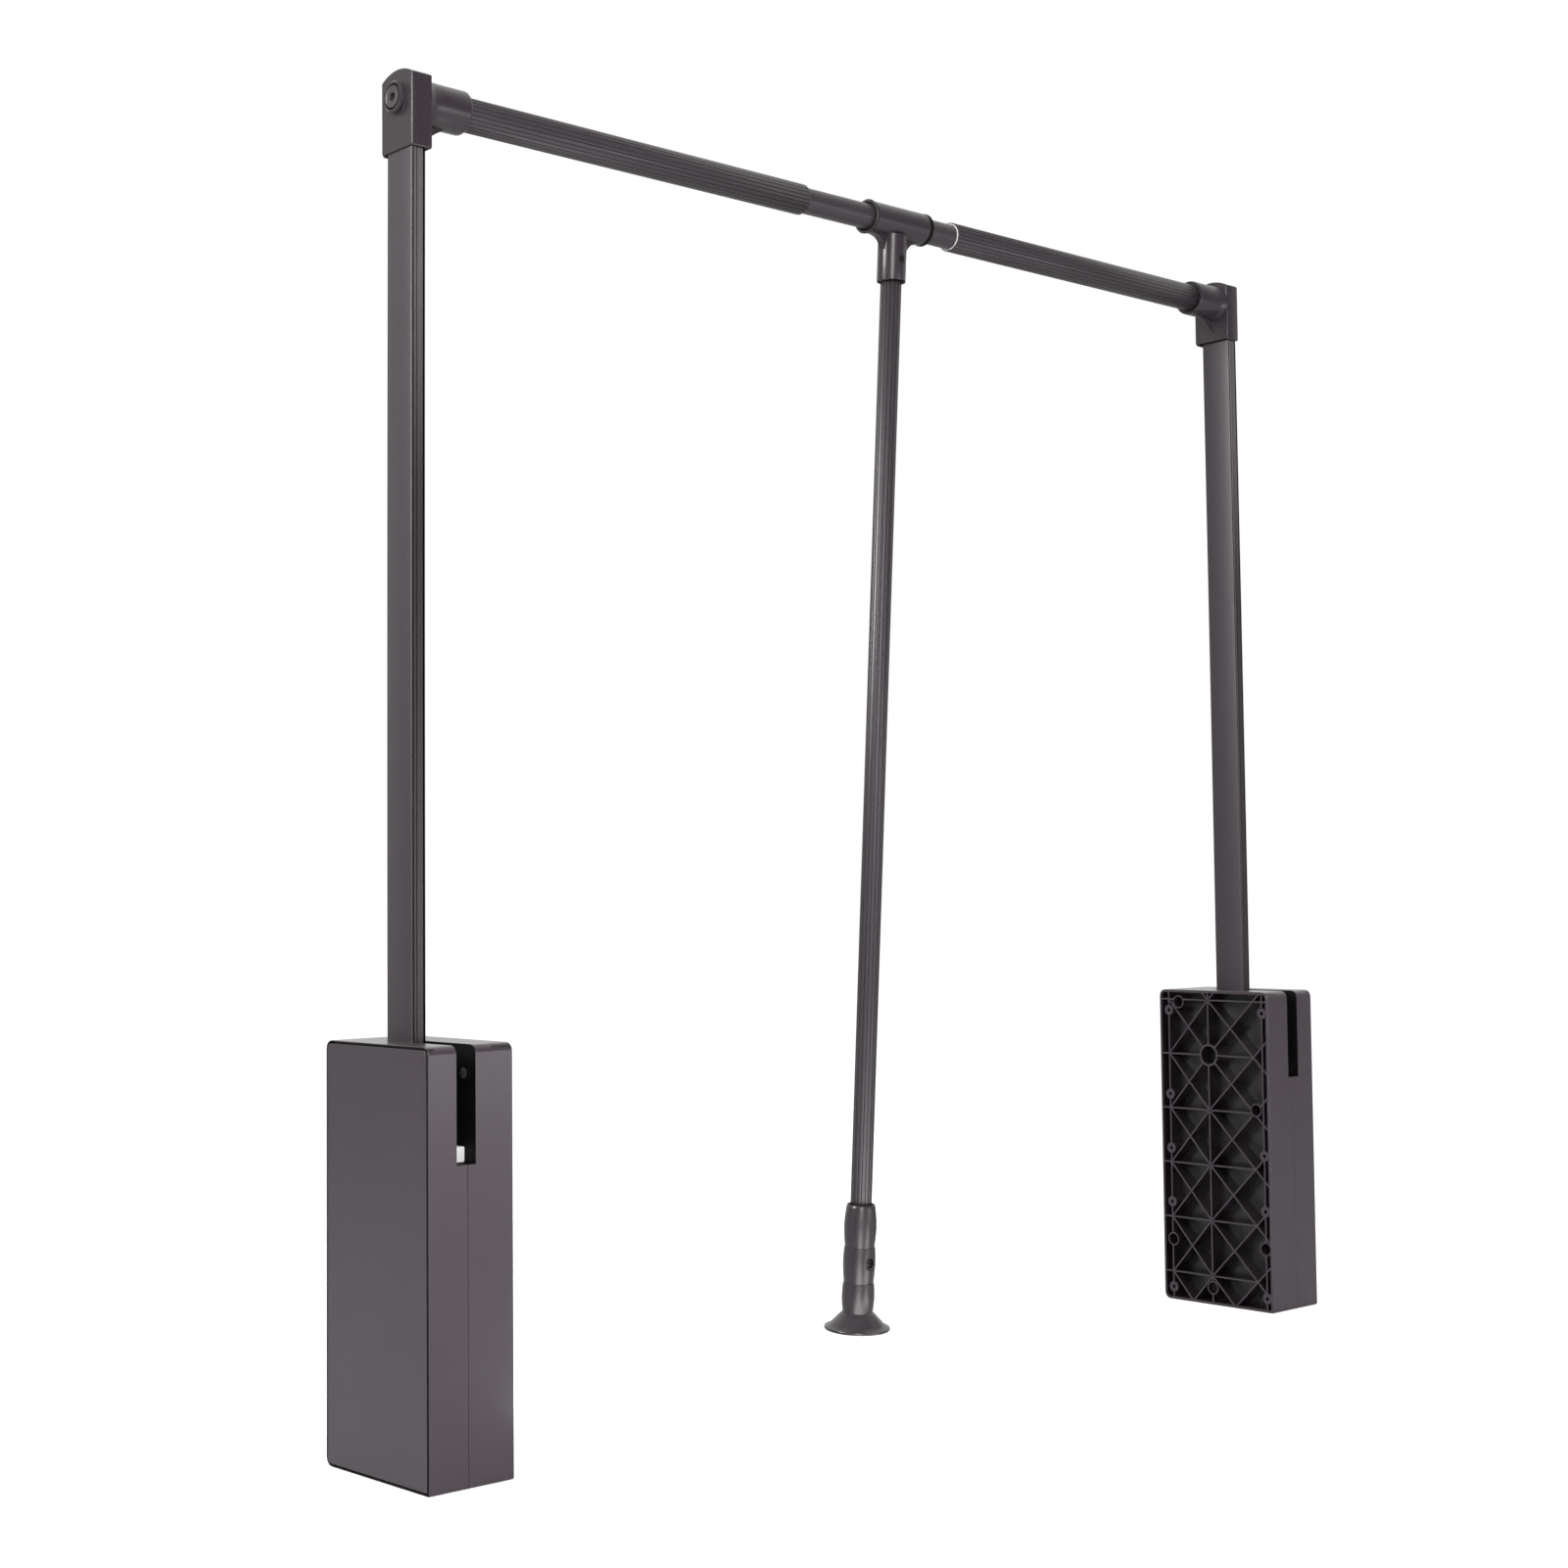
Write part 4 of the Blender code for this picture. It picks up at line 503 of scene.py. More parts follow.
def rounded_outline(low, high, radii, count=corner_points):
    """A rectangle's outline whose corners, from the low one round, have the given radii."""
    half_turn, quarter = math.pi, math.pi / 2
    centres = ((low[0] + radii[0], low[1] + radii[0]), (high[0] - radii[1], low[1] + radii[1]),
               (high[0] - radii[2], high[1] - radii[2]), (low[0] + radii[3], high[1] - radii[3]))
    return np.concatenate([
        corner_arc(centre, radius, half_turn + k * quarter, half_turn + (k + 1) * quarter, count)
        for k, (centre, radius) in enumerate(zip(centres, radii))])


def unit_rows(vectors):
    """Each row's vector with its length made one."""
    return vectors / np.maximum(np.linalg.norm(vectors, axis=1, keepdims=True), tiny)


def drawn_in(outline, distance):
    """The outline moved inwards by a distance along the mean normals of its points."""
    unit_ahead = unit_rows(np.roll(outline, -1, axis=0) - outline)
    unit_back = unit_rows(outline - np.roll(outline, 1, axis=0))
    mean = unit_rows(unit_ahead + unit_back)
    normal = np.column_stack([-mean[:, 1], mean[:, 0]])
    stretch = np.maximum((unit_ahead * mean).sum(axis=1, keepdims=True), sharpest)
    return outline + normal * distance / stretch


def solid(name, rings, loop=False, degrees=sharp_angle):
    """Closed rings of points, row after row, joined by quads. The end rings get one face each,
    or are joined to each other when loop is set."""
    rings = np.asarray(rings, float)
    rows, count = rings.shape[:2]
    index = np.arange(rows * count).reshape(rows, count)
    here, above = (index, np.roll(index, -1, axis=0)) if loop else (index[:-1], index[1:])
    quads = np.stack([here, np.roll(here, -1, axis=1), np.roll(above, -1, axis=1), above], axis=-1)
    faces = quads.reshape(-1, 4).tolist()
    if not loop:
        faces += [index[0].tolist(), index[-1][::-1].tolist()]
    mesh = bpy.data.meshes.new(name)
    mesh.from_pydata(rings.reshape(-1, 3).tolist(), [], faces)
    work = bmesh.new()
    work.from_mesh(mesh)
    bmesh.ops.remove_doubles(work, verts=work.verts, dist=merge_distance)
    bmesh.ops.recalc_face_normals(work, faces=work.faces)
    caps = [face for face in work.faces if len(face.verts) > cap_corners]
    bmesh.ops.inset_individual(work, faces=caps, thickness=cap_margin, use_even_offset=True)
    work.to_mesh(mesh)
    work.free()
    item = linked(name, mesh)
    smooth_sharp(item, degrees)
    return item


def spread(plane, outline, along):
    """Points of a flat outline put into space: plane names its two axes, along is the third."""
    first, second = ("XYZ".index(axis) for axis in plane)
    points = np.empty((len(outline), 3))
    points[:, first], points[:, second] = outline[:, 0], outline[:, 1]
    points[:, 3 - first - second] = along
    return points


def swept(name, plane, outline, *levels):
    """An outline carried straight along the third axis, with a ring at each level."""
    return solid(name, [spread(plane, outline, level) for level in levels])


def moulding(name, plane, outline, start, end, start_round, end_round):
    """An outline extruded from start to end. At each end it is drawn in over a quarter round:
    by r(1 - sin t) and set back r(1 - cos t), for t from 0 to a right angle."""
    way = math.copysign(1.0, end - start)
    rings = [spread(plane, drawn_in(outline, start_round * (1 - math.sin(t))),
                    start + way * start_round * (1 - math.cos(t))) for t in bend]
    rings += [spread(plane, drawn_in(outline, end_round * (1 - math.sin(t))),
                     end - way * end_round * (1 - math.cos(t))) for t in bend[::-1]]
    return solid(name, rings)


low, high = cover_gap - housing_depth / 2, housing_height - cover_gap
cover_outline = rounded_outline((low, cover_gap), (-low, high), cover_radii)
for side, name in sides:
    plate = moulding(name + "_cover", "YZ", cover_outline, side_x(side, 0.0),
                     side_x(side, cover_thickness), cover_edge, 0.0)
    fit(plate, name + "_cover_plate", name + "_unit", graphite_plastic)
    # Painted shade: the plate's edge walls are painted black.
    paint_shade_on_faces(plate, lambda at: np.abs(at[:, 0]) < overall_width / 2 - cover_painted_shade_depth)

# The stop blocks: white nylon blocks across the slot's foot that the lowered arms rest on,
# cut from bar with lightly broken edges.
stop_round, stop_corner = 0.0005, 0.0010
white_nylon = grained("natural_nylon", (0.86, 0.85, 0.86), 0.42, 0.05, mottle=0.02)
for side, name in sides:
    low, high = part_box(name + "_stop_block")
    outline = rounded_outline((low[0], low[2]), (high[0], high[2]), (stop_corner,) * 4, edge_points)
    block = moulding(name + "_stop", "XZ", outline, low[1], high[1], stop_round, stop_round)
    fit(block, name + "_stop_block", name + "_unit", white_nylon)

# The works inside the housings: axles and pins in black oxide, zinc-plated screws, arm roots
# and dampers, nylon bushes, springs of oiled wire; but the pivot axles and lower pins are painted
# near-black as painted shade, so that they read as holes. They keep the CAD's shapes.
black_screw = grained("black_oxide", (0.008, 0.008, 0.009), 0.36, 0.08, specular=0.3, dusty=0.0)
zinc_steel = grained("zinc_plate", (0.52, 0.52, 0.53), 0.30, 0.08, metallic=1.0, mottle=0.04,
                     dusty=0.0)
spring_steel = grained("oiled_wire", (0.30, 0.29, 0.29), 0.33, 0.06, metallic=1.0, dusty=0.0)

# The arms: flat extrusions of aluminium, powder-coated graphite. A satin strip is slid into
# the groove of the front edge, and dark lines, painted black in the groove as painted shade,
# part it from the arm's two lips. Both arms stand a little closer at the top than at the foot,
# within the play of their bearings.
arm_inset = 0.030
arm_set_back = 0.006
arm_thickness, arm_depth, arm_round = 0.0116, 0.0314, 0.0009
arm_foot, arm_top, arm_rings = 0.257, 0.9865, 12
left_lip, right_lip, lip_points = 0.0008, 0.0003, 5
groove_depth, groove_brim, groove_slack = 0.0020, 0.00001, 0.0002
notch_start, notch_end, notch_depth = 0.0041, 0.0049, 0.0006
strip_foot, strip_top, strip_line = 0.2572, 0.9372, 0.0013
strip_set, strip_bed = 0.0001, 0.0003
strip_round, strip_side = 0.0004, 0.00036
foot_drift, top_drift = -0.0006, 0.0013
strip_bright, strip_dark = 0.87, 0.66
strip_painted_shade_tone = (0.038, 0.032, 0.034)


def strip_shade(tree, tone):
    """Painted shade: the strip's tone, darker below where less of the room reaches it."""
    height = split(tree, object_place(tree))["Z"]
    return mixed(tree, ramp(tree, height, strip_bright, strip_dark), tone, strip_painted_shade_tone)


def reshaped(item, move):
    """Moves a piece's points, which move changes in place as an array."""
    flat = np.empty(len(item.data.vertices) * 3)
    item.data.vertices.foreach_get("co", flat)
    move(flat.reshape(-1, 3))
    item.data.vertices.foreach_set("co", flat)
    item.data.update()
    return item


graphite_enamel = grained("graphite_powder_coat", (0.041, 0.033, 0.039), 0.36, 0.04, metallic=0.1,
                          size=0.0006, depth=fine_depth)
strip_grey = grained("strip_satin_grey", (0.110, 0.100, 0.101), 0.32, 0.04, specular=0.3,
                     metallic=0.1, shade=strip_shade)
for side, name in sides:
    centre = side_x(side, arm_inset)
    front, rear = arm_set_back - arm_depth / 2, arm_set_back + arm_depth / 2
    near, far = centre - arm_thickness / 2, centre + arm_thickness / 2
    left, right, floor = near + left_lip, far - right_lip, front + groove_depth
    radii = (left_lip, right_lip, arm_round, arm_round)
    outline = rounded_outline((near, front), (far, rear), radii, lip_points)
    groove = [[left, front + groove_brim], [left, floor], [right, floor],
              [right, front + groove_brim]]
    outline = np.concatenate([outline[:lip_points], groove, outline[lip_points:]])
    tube = swept(name + "_arm", "XY", outline, *np.linspace(arm_foot, arm_top, arm_rings))
    fit(tube, name + "_arm_tube", name + "_arm", graphite_enamel)
    # Painted shade: the groove's walls and floor beside the strip are painted black.
    paint_shade_on_faces(tube, lambda at: (at[:, 0] > left - groove_brim) & (at[:, 0] < right + groove_brim)
               & (at[:, 1] > front + groove_slack) & (at[:, 1] < floor + groove_slack))
    low, high = left + strip_line, right - strip_line
    bed, face = floor + strip_bed, front + strip_set
    strip = np.array([
        [low, bed], [low, face + strip_round], [low + strip_round, face],
        [near + notch_start, face], [near + notch_start, face + notch_depth],
        [near + notch_end, face + notch_depth], [near + notch_end, face],
        [high - strip_round, face], [high, face + strip_round], [high, bed]])
    bar = swept(name + "_strip", "XY", strip, *np.linspace(strip_foot, strip_top, arm_rings))
    fit(bar, name + "_arm_strip", name + "_arm", strip_grey)
    # Painted shade: the strip's sides, down in the groove, are painted black.
    paint_shade_on_faces(bar, lambda at: (at[:, 1] > face + strip_side) & (at[:, 1] < floor + groove_slack))

    def drift(points):
        """Moves the points sideways, more and more towards the arm's top."""
        share = (points[:, 2] - arm_foot) / (arm_top - arm_foot)
        points[:, 0] -= side * (foot_drift + (top_drift - foot_drift) * share ** 2)

    reshaped(tube, drift)
    reshaped(bar, drift)

# The arm heads: moulded caps over the arms' ends. Outside each has a round boss with a sunk
# socket-head bolt, inside a tapering socket for the crossbar with a thin web under it.
bar_height = 0.9755
bar_axis = (arm_set_back, bar_height)
head_near, head_far = 0.02395, 0.0410
head_front, head_rear = -0.01235, 0.02695
head_foot = bar_height - 0.038
head_shoulder, head_crown = bar_height + 0.0153, bar_height + 0.0210
head_edge, head_back_edge, head_foot_edge = 0.0008, 0.0006, 0.00096
crown_points = 24
boss_radius, boss_rim, boss_height = 0.01175, 0.01075, 0.0050
boss_fillet, boss_slope, boss_edge, boss_land = 0.0006, 0.0012, 0.0003, 0.0004
recess_radius, recess_depth, recess_gap = 0.00915, 0.0046, 0.0004
boss_face = head_near - boss_height
bolt_blank, bolt_radius, bolt_rim, bolt_sunk = 0.0080, 0.00825, 0.0005, 0.0001
bolt_face, bolt_seat = boss_face + bolt_sunk, boss_face + recess_depth
key_radius, key_sides = 0.0030 / math.cos(math.pi / 6), 6
key_above, key_depth = 0.002, 0.0035
socket_radius, socket_root, socket_fillet, fillet_run = 0.0163, 0.0178, 0.0008, 0.0012
socket_taper, socket_swell = 0.012, 0.0004
socket_end = head_far + 0.0375
socket_edge = ((0.0016, 0.0), (0.0006, 0.0002), (0.0, 0.0007))
socket_under = bar_height - socket_radius
mouth_radius, mouth_depth, mouth_sink = 0.01295, 0.0300, 0.0012
mouth_lip, mouth_draft = 0.0011, 0.0001
web_half, web_length, web_drop, web_top = 0.0015, 0.026, 0.0155, 0.002
web_foot = socket_under - web_drop
web_curve, web_points = 1.5, 14
bead_radius, bead_out, bead_turn = 0.0006, 0.0001, 16
lip_start, lip_bend, lip_drop = 0.0238, 0.0248, 0.0015
lip_back, lip_rise = 0.0006, 0.0004
overlap = 0.001
under_half = 0.0002
fine_turn, screw_turn = 96, 48


def lathed(name, axis, centre, profile, count=fine_turn, loop=False):
    """A profile of (along, radius) points turned round an axis: each ring is the centre plus
    radius times (cos, sin) in the plane across the axis."""
    angle = 2 * math.pi * (np.arange(count) + 0.5) / count
    plane = {"X": "YZ", "Y": "XZ", "Z": "XY"}[axis]
    circle = np.column_stack([np.cos(angle), np.sin(angle)])
    rings = [spread(plane, np.array(centre) + radius * circle, along) for along, radius in profile]
    return solid(name, rings, loop)


def on_bar(name, side, profile, count=fine_turn):
    """A round piece on the crossbar's axis, from (inset, radius) points."""
    return lathed(name, "X", bar_axis, [(side_x(side, u), r) for u, r in profile], count)


def joined(name, parts):
    """Several closed shapes that overlap, as one piece."""
    work = bmesh.new()
    for part in parts:
        work.from_mesh(part.data)
    work.to_mesh(parts[0].data)
    work.free()
    for part in parts[1:]:
        bpy.data.objects.remove(part, do_unlink=True)
    parts[0].name = parts[0].data.name = name
    smooth_sharp(parts[0])
    return parts[0]


def carved(name, item, *cutters):
    """The item, renamed, with closed shapes cut out of it."""
    for cutter in cutters:
        cut = item.modifiers.new("cut", "BOOLEAN")
        cut.operation = "DIFFERENCE"
        cut.solver = "EXACT"
        cut.object = cutter
        graph = bpy.context.evaluated_depsgraph_get()
        mesh = bpy.data.meshes.new_from_object(item.evaluated_get(graph))
        item.modifiers.clear()
        item.data = mesh
        bpy.data.objects.remove(cutter, do_unlink=True)
    smooth_sharp(item)
    item.name = item.data.name = name
    return item


def head_outline():
    """The head's side in (y, z): upright sides, a crown on an arc through both shoulders."""
    half = (head_rear - head_front) / 2
    rise = head_crown - head_shoulder
    radius = (half * half + rise * rise) / (2 * rise)
    middle, lift = (head_front + head_rear) / 2, head_crown - radius
    up, reach = math.pi / 2, math.asin(half / radius)
    crown = corner_arc((middle, lift), radius, up - reach, up + reach, crown_points)
    foot = [(head_front, head_foot + head_foot_edge), (head_front + head_foot_edge, head_foot),
            (head_rear - head_foot_edge, head_foot), (head_rear, head_foot + head_foot_edge)]
    return np.concatenate([foot, crown])


def head_painted_shade(centre):
    """Painted shade: true on the underside round the arm, in the socket's mouth and round the bolt.
    """
    inset = overall_width / 2 - np.abs(centre[:, 0])
    reach = np.hypot(centre[:, 1] - bar_axis[0], centre[:, 2] - bar_axis[1])
    in_mouth = (inset > socket_end - mouth_sink / 2) & (reach < socket_radius - mouth_lip)
    round_bolt = (inset < bolt_seat + bolt_sunk) & (reach < recess_radius + recess_gap)
    return in_mouth | round_bolt | (np.abs(centre[:, 2] - head_foot) < under_half)


bolt_grey = grained("bolt_graphite", (0.070, 0.064, 0.068), 0.30, 0.05, metallic=0.4, dusty=0.0)
for side, name in sides:
    body = moulding(name + "_head_body", "YZ", head_outline(), side_x(side, head_near),
                    side_x(side, head_far), head_edge, head_back_edge)
    boss = on_bar(name + "_boss", side, [
        (head_near + head_edge, 0.0), (head_near + head_edge, boss_radius + boss_fillet),
        (head_near, boss_radius + boss_fillet), (head_near - boss_fillet, boss_radius),
        (boss_face + boss_slope, boss_radius), (boss_face + boss_edge, boss_rim),
        (boss_face, boss_rim - boss_land), (boss_face, recess_radius + boss_edge),
        (boss_face + boss_edge, recess_radius), (bolt_seat, recess_radius), (bolt_seat, 0.0)])
    socket = on_bar(name + "_socket", side, [
        (head_far - overlap, 0.0), (head_far - overlap, socket_root + socket_fillet),
        (head_far, socket_root + socket_fillet), (head_far + fillet_run, socket_root),
        (head_far + socket_taper / 2, socket_radius + socket_swell),
        (head_far + socket_taper, socket_radius),
        *[(socket_end - back, socket_radius - less) for back, less in socket_edge],
        (socket_end, socket_radius - mouth_lip),
        (socket_end - mouth_sink, socket_radius - mouth_lip - mouth_draft),
        (socket_end - mouth_sink, mouth_radius), (socket_end - mouth_depth, mouth_radius),
        (socket_end - mouth_depth, 0.0)])
    run = np.linspace(1.0, 0.0, web_points)
    inner_end, outer_end = side_x(side, head_far + web_length), side_x(side, head_far - overlap)
    curve = np.column_stack([
        side_x(side, head_far + web_length * run),
        socket_under + overlap - (web_drop + overlap) * (1 - run) ** web_curve])
    top = [[outer_end, web_foot], [outer_end, socket_under + web_top],
           [inner_end, socket_under + web_top]]
    web = swept(name + "_web", "XZ", np.concatenate([curve, top]), arm_set_back - web_half,
                arm_set_back + web_half)
    lip_outline = np.array([
        [lip_start, head_foot - lip_drop], [lip_bend, head_foot - lip_drop],
        [head_rear - lip_back, head_foot - lip_rise], [head_rear - lip_back, head_foot + overlap],
        [lip_start, head_foot + overlap]])
    lip = swept(name + "_lip", "YZ", lip_outline, side_x(side, head_near + head_edge),
                side_x(side, head_far - head_edge))
    bead_place = (side_x(side, head_far + bead_out), arm_set_back - web_half)
    bead = lathed(name + "_bead", "Z", bead_place, [
        (web_foot, 0.0), (web_foot, bead_radius), (socket_under, bead_radius),
        (socket_under, 0.0)], bead_turn)
    head = joined(name + "_head", [body, boss, socket, web, lip, bead])
    fit(head, name + "_arm_head", name + "_arm", gloss_plastic)
    # Painted shade: the head's underside, the socket's mouth and the ring round the bolt are
    # painted black.
    paint_shade_on_faces(head, head_painted_shade)
    proud_rim = [(bolt_face - bolt_rim * (1 - math.sin(t)),
                  bolt_radius - bolt_rim * (1 - math.cos(t))) for t in bend]
    bolt = on_bar(name + "_bolt_blank", side, [
        (bolt_seat, 0.0), (bolt_seat, bolt_blank), *proud_rim, (bolt_face, 0.0)], screw_turn)
    key = on_bar(name + "_key", side, [
        (boss_face - key_above, 0.0), (boss_face - key_above, key_radius),
        (boss_face + key_depth, key_radius), (boss_face + key_depth, 0.0)], key_sides)
    fit(carved(name + "_bolt", bolt, key), name + "_head_bolt", name + "_arm", bolt_grey)

# The crossbar: two fluted steel tubes in graphite powder coat that slide over a smooth inner
# tube. A white nylon bush guides it in each mouth and just shows at the right one.
tube_radius, tube_bore, tube_edge = 0.01265, 0.0117, 0.0003
tube_flutes, flute_depth, flute_share, flute_points = 24, 0.0003, 0.42, 12
flute_bottom, flute_angle = 0.7, 50.0
tube_start = 0.04645
inner_radius, inner_bore = 0.0107, 0.0095
inner_left, inner_right = -0.2148, 0.2160
mouths = {-1: -0.0888, 1: 0.0900}
bush_proud = {-1: -0.0010, 1: 0.0006}
bush_bore, bush_face, bush_radius = 0.0110, 0.0115, 0.0116
bush_edge, bush_length = 0.0001, 0.025
flute_painted_shade = grained("flute_shadow", (0.008, 0.007, 0.008), 0.5, 0.05, specular=0.2, dusty=0.0)


def fluted(count, radius, depth):
    """A circle with narrow round grooves: the radius falls by depth times
    cos squared across the share of each pitch that a groove takes."""
    angle = 2 * math.pi * np.arange(count * flute_points) / (count * flute_points)
    phase = (angle * count / (2 * math.pi) + 0.5) % 1.0 - 0.5
    wave = np.cos(np.clip(phase / flute_share, -0.5, 0.5) * math.pi) ** 2
    reach = radius - depth * np.where(np.abs(phase) < flute_share / 2, wave, 0.0)
    return np.column_stack([reach * np.cos(angle), reach * np.sin(angle)])


def fluted_tube(name, node, body, plane, centre, start, end, radius, bore, flutes):
    """A fluted tube with a plain bore, lightly rounded ends and painted shade in the groove
    bottoms, in place of its node; plane names the two axes across it."""
    step = math.copysign(tube_edge, end - start)
    ring, inner = fluted(flutes, radius, flute_depth), fluted(flutes, bore, 0.0)
    slim = ring * (1 - tube_edge / radius)
    rings = [spread(plane, np.array(centre) + shape, along) for shape, along in (
        (slim, start), (ring, start + step), (ring, end - step), (slim, end), (inner, end),
        (inner, start))]
    tube = solid(name, rings, loop=True, degrees=flute_angle)
    fit(tube, node, body, graphite_enamel)
    first, second = ("XYZ".index(axis) for axis in plane)

    def bottoms(at):
        """True in the lowest part of the grooves."""
        reach = np.hypot(at[:, first] - centre[0], at[:, second] - centre[1])
        return (reach < radius - flute_bottom * flute_depth) & (reach > (radius + bore) / 2)

    # Painted shade: the groove bottoms are painted near-black.
    paint_shade_on_faces(tube, bottoms, flute_painted_shade)
    return tube


for side, name in sides:
    mouth, proud = mouths[side], bush_proud[side]
    fluted_tube(name + "_tube", name + "_outer_tube", name + "_arm", "YZ", bar_axis,
                side_x(side, tube_start), mouth, tube_radius, tube_bore, tube_flutes)
    bush = lathed(name + "_bush", "X", bar_axis, [
        (mouth - side * proud, bush_bore), (mouth - side * proud, bush_face),
        (mouth - side * (proud - bush_edge), bush_radius),
        (mouth + side * bush_length, bush_radius), (mouth + side * bush_length, bush_bore)],
        loop=True)
    fit(bush, name + "_guide_bush", name + "_arm", white_nylon)
inner = lathed("inner_bar", "X", bar_axis, [
    (inner_left, inner_bore), (inner_left, inner_radius), (inner_right, inner_radius),
    (inner_right, inner_bore)], loop=True)
fit(inner, "inner_tube", "centre_tube", graphite_enamel)

# The tee: a moulded barrel that turns on the inner tube, with a sleeve below for the pull rod
# and round webs in the corners. Black collars close its ends; a cross-head screw holds the rod.
lean = math.radians(3.6)
sway = 0.0010
tee_x = 0.0205
tee_left, tee_right, tee_radius = -0.0100, 0.0537, 0.0138
tee_edge, tee_play, tee_end = 0.0003, 0.0003, 0.0002
sleeve_radius, sleeve_drop = 0.0125, 0.0517
sleeve_top, sleeve_rim, sleeve_painted_shade_height = 0.0006, 0.0008, 0.0009
sleeve_edge = ((0.0012, 0.0), (0.0004, 0.0003), (0.0, 0.0011))
web_radii, web_width, web_cover, web_inside = {-1: 0.011, 1: 0.016}, 0.007, 0.003, 0.010
web_turns = 12
rod_radius = 0.0092
well_radius, well_out, well_floor = 0.0034, 0.004, 0.0016
collars = (("tee_left_collar", tee_left, -0.0121, 0.0147, -1),
           ("tee_right_collar", tee_right, 0.0575, 0.0141, 1))
collar_bore, collar_neck, collar_mouth, collar_hole = 0.0110, 0.0128, 0.0126, 0.0125
collar_start, collar_groove, collar_step, collar_bevel = 0.0003, 0.0014, 0.0016, 0.0003
collar_edge, collar_depth, collar_painted_shade_radius = 0.0004, 0.0012, 0.01285
screw_drop, screw_out, screw_radius = 0.033, 0.0123, 0.0030
screw_head = ((0.0014, 0.0), (0.0014, 1.0), (0.0004, 1.0), (0.0001, 0.86), (-0.0001, 0.5),
              (-0.0001, 0.0))
cross_reach, cross_slit, cross_above, cross_depth = 0.62, 0.14, 0.002, 0.0008
foot = bar_height - sleeve_drop
upright = (tee_x, arm_set_back)
black_rubber = grained("collar_black_gap", (0.004, 0.004, 0.004), 0.60, 0.08, depth=0.00003,
                       dusty=0.0, specular=0.2)
collar_rubber = grained("collar_black_rubber", (0.036, 0.031, 0.034), 0.36, 0.04, dusty=0.0)


def hung(item):
    """Tilt a piece back about the crossbar as the pull rod leans, and sway it a little."""

    def tilt(points):
        """Turns the points about the crossbar's axis."""
        y, z = points[:, 1] - arm_set_back, points[:, 2] - bar_height
        points[:, 1] = arm_set_back + y * math.cos(lean) - z * math.sin(lean)
        points[:, 2] = bar_height + y * math.sin(lean) + z * math.cos(lean)
        points[:, 0] += sway * np.minimum(z + tee_radius, 0.0)

    return reshaped(item, tilt)


def from_front(name, drop, profile):
    """A round piece that looks forward, from points (in front of the rod's axis, radius)."""
    return lathed(name, "Y", (tee_x, bar_height - drop),
                  [(arm_set_back - out, radius) for out, radius in profile], screw_turn)


def cross_screw(name, node, drop, out, radius):
    """A pan-head screw seen from the front, with a cross cut into it."""
    head = from_front(name, drop, [(out - behind, radius * share) for behind, share in screw_head])
    long, slit = radius * cross_reach, radius * cross_slit
    cuts = []
    for x, z in ((long, slit), (slit, long)):
        outline = np.array([[-x, -z], [x, -z], [x, z], [-x, z]]) + (tee_x, bar_height - drop)
        cuts.append(swept(name + "_cut", "XZ", outline, arm_set_back - out - cross_above,
                          arm_set_back - out + cross_depth))
    fit(hung(carved(name, head, *cuts)), node, "pull_rod_set", black_screw)


barrel = lathed("tee_barrel", "X", bar_axis, [
    (tee_left, inner_radius + tee_play), (tee_left, tee_radius - tee_edge),
    (tee_left + tee_edge, tee_radius), (tee_right - tee_edge, tee_radius),
    (tee_right, tee_radius - tee_edge), (tee_right, inner_radius + tee_play)], loop=True)
sleeve_start = bar_height - inner_radius - sleeve_top
sleeve = lathed("tee_sleeve", "Z", upright, [
    (sleeve_start, rod_radius + tee_play), (sleeve_start, sleeve_radius),
    *[(foot + up, sleeve_radius - less) for up, less in sleeve_edge],
    (foot, rod_radius + tee_play)], loop=True)
webs = []
for way, web_radius in web_radii.items():
    turns = np.linspace(0.0, math.pi / 2, web_turns)
    corner = (tee_x + way * (sleeve_radius + web_radius), bar_height - tee_radius - web_radius)
    curve = np.column_stack([corner[0] - way * web_radius * np.cos(turns),
                             corner[1] + web_radius * np.sin(turns)])
    inside = [[curve[-1][0], curve[-1][1] + web_cover],
              [tee_x + way * web_inside, curve[-1][1] + web_cover],
              [tee_x + way * web_inside, curve[0][1]]]
    webs.append(swept("tee_web", "XZ", np.concatenate([curve, inside]),
                      arm_set_back - web_width / 2, arm_set_back + web_width / 2))
well = from_front("tee_well", screw_drop, [
    (sleeve_radius + well_out, 0.0), (sleeve_radius + well_out, well_radius),
    (sleeve_radius - well_floor, well_radius), (sleeve_radius - well_floor, 0.0)])
sleeve = carved("tee_sleeve", sleeve, well)
tee = hung(joined("tee", [barrel, sleeve] + webs))
fit(tee, "tee_body", "pull_rod_set", gloss_plastic)
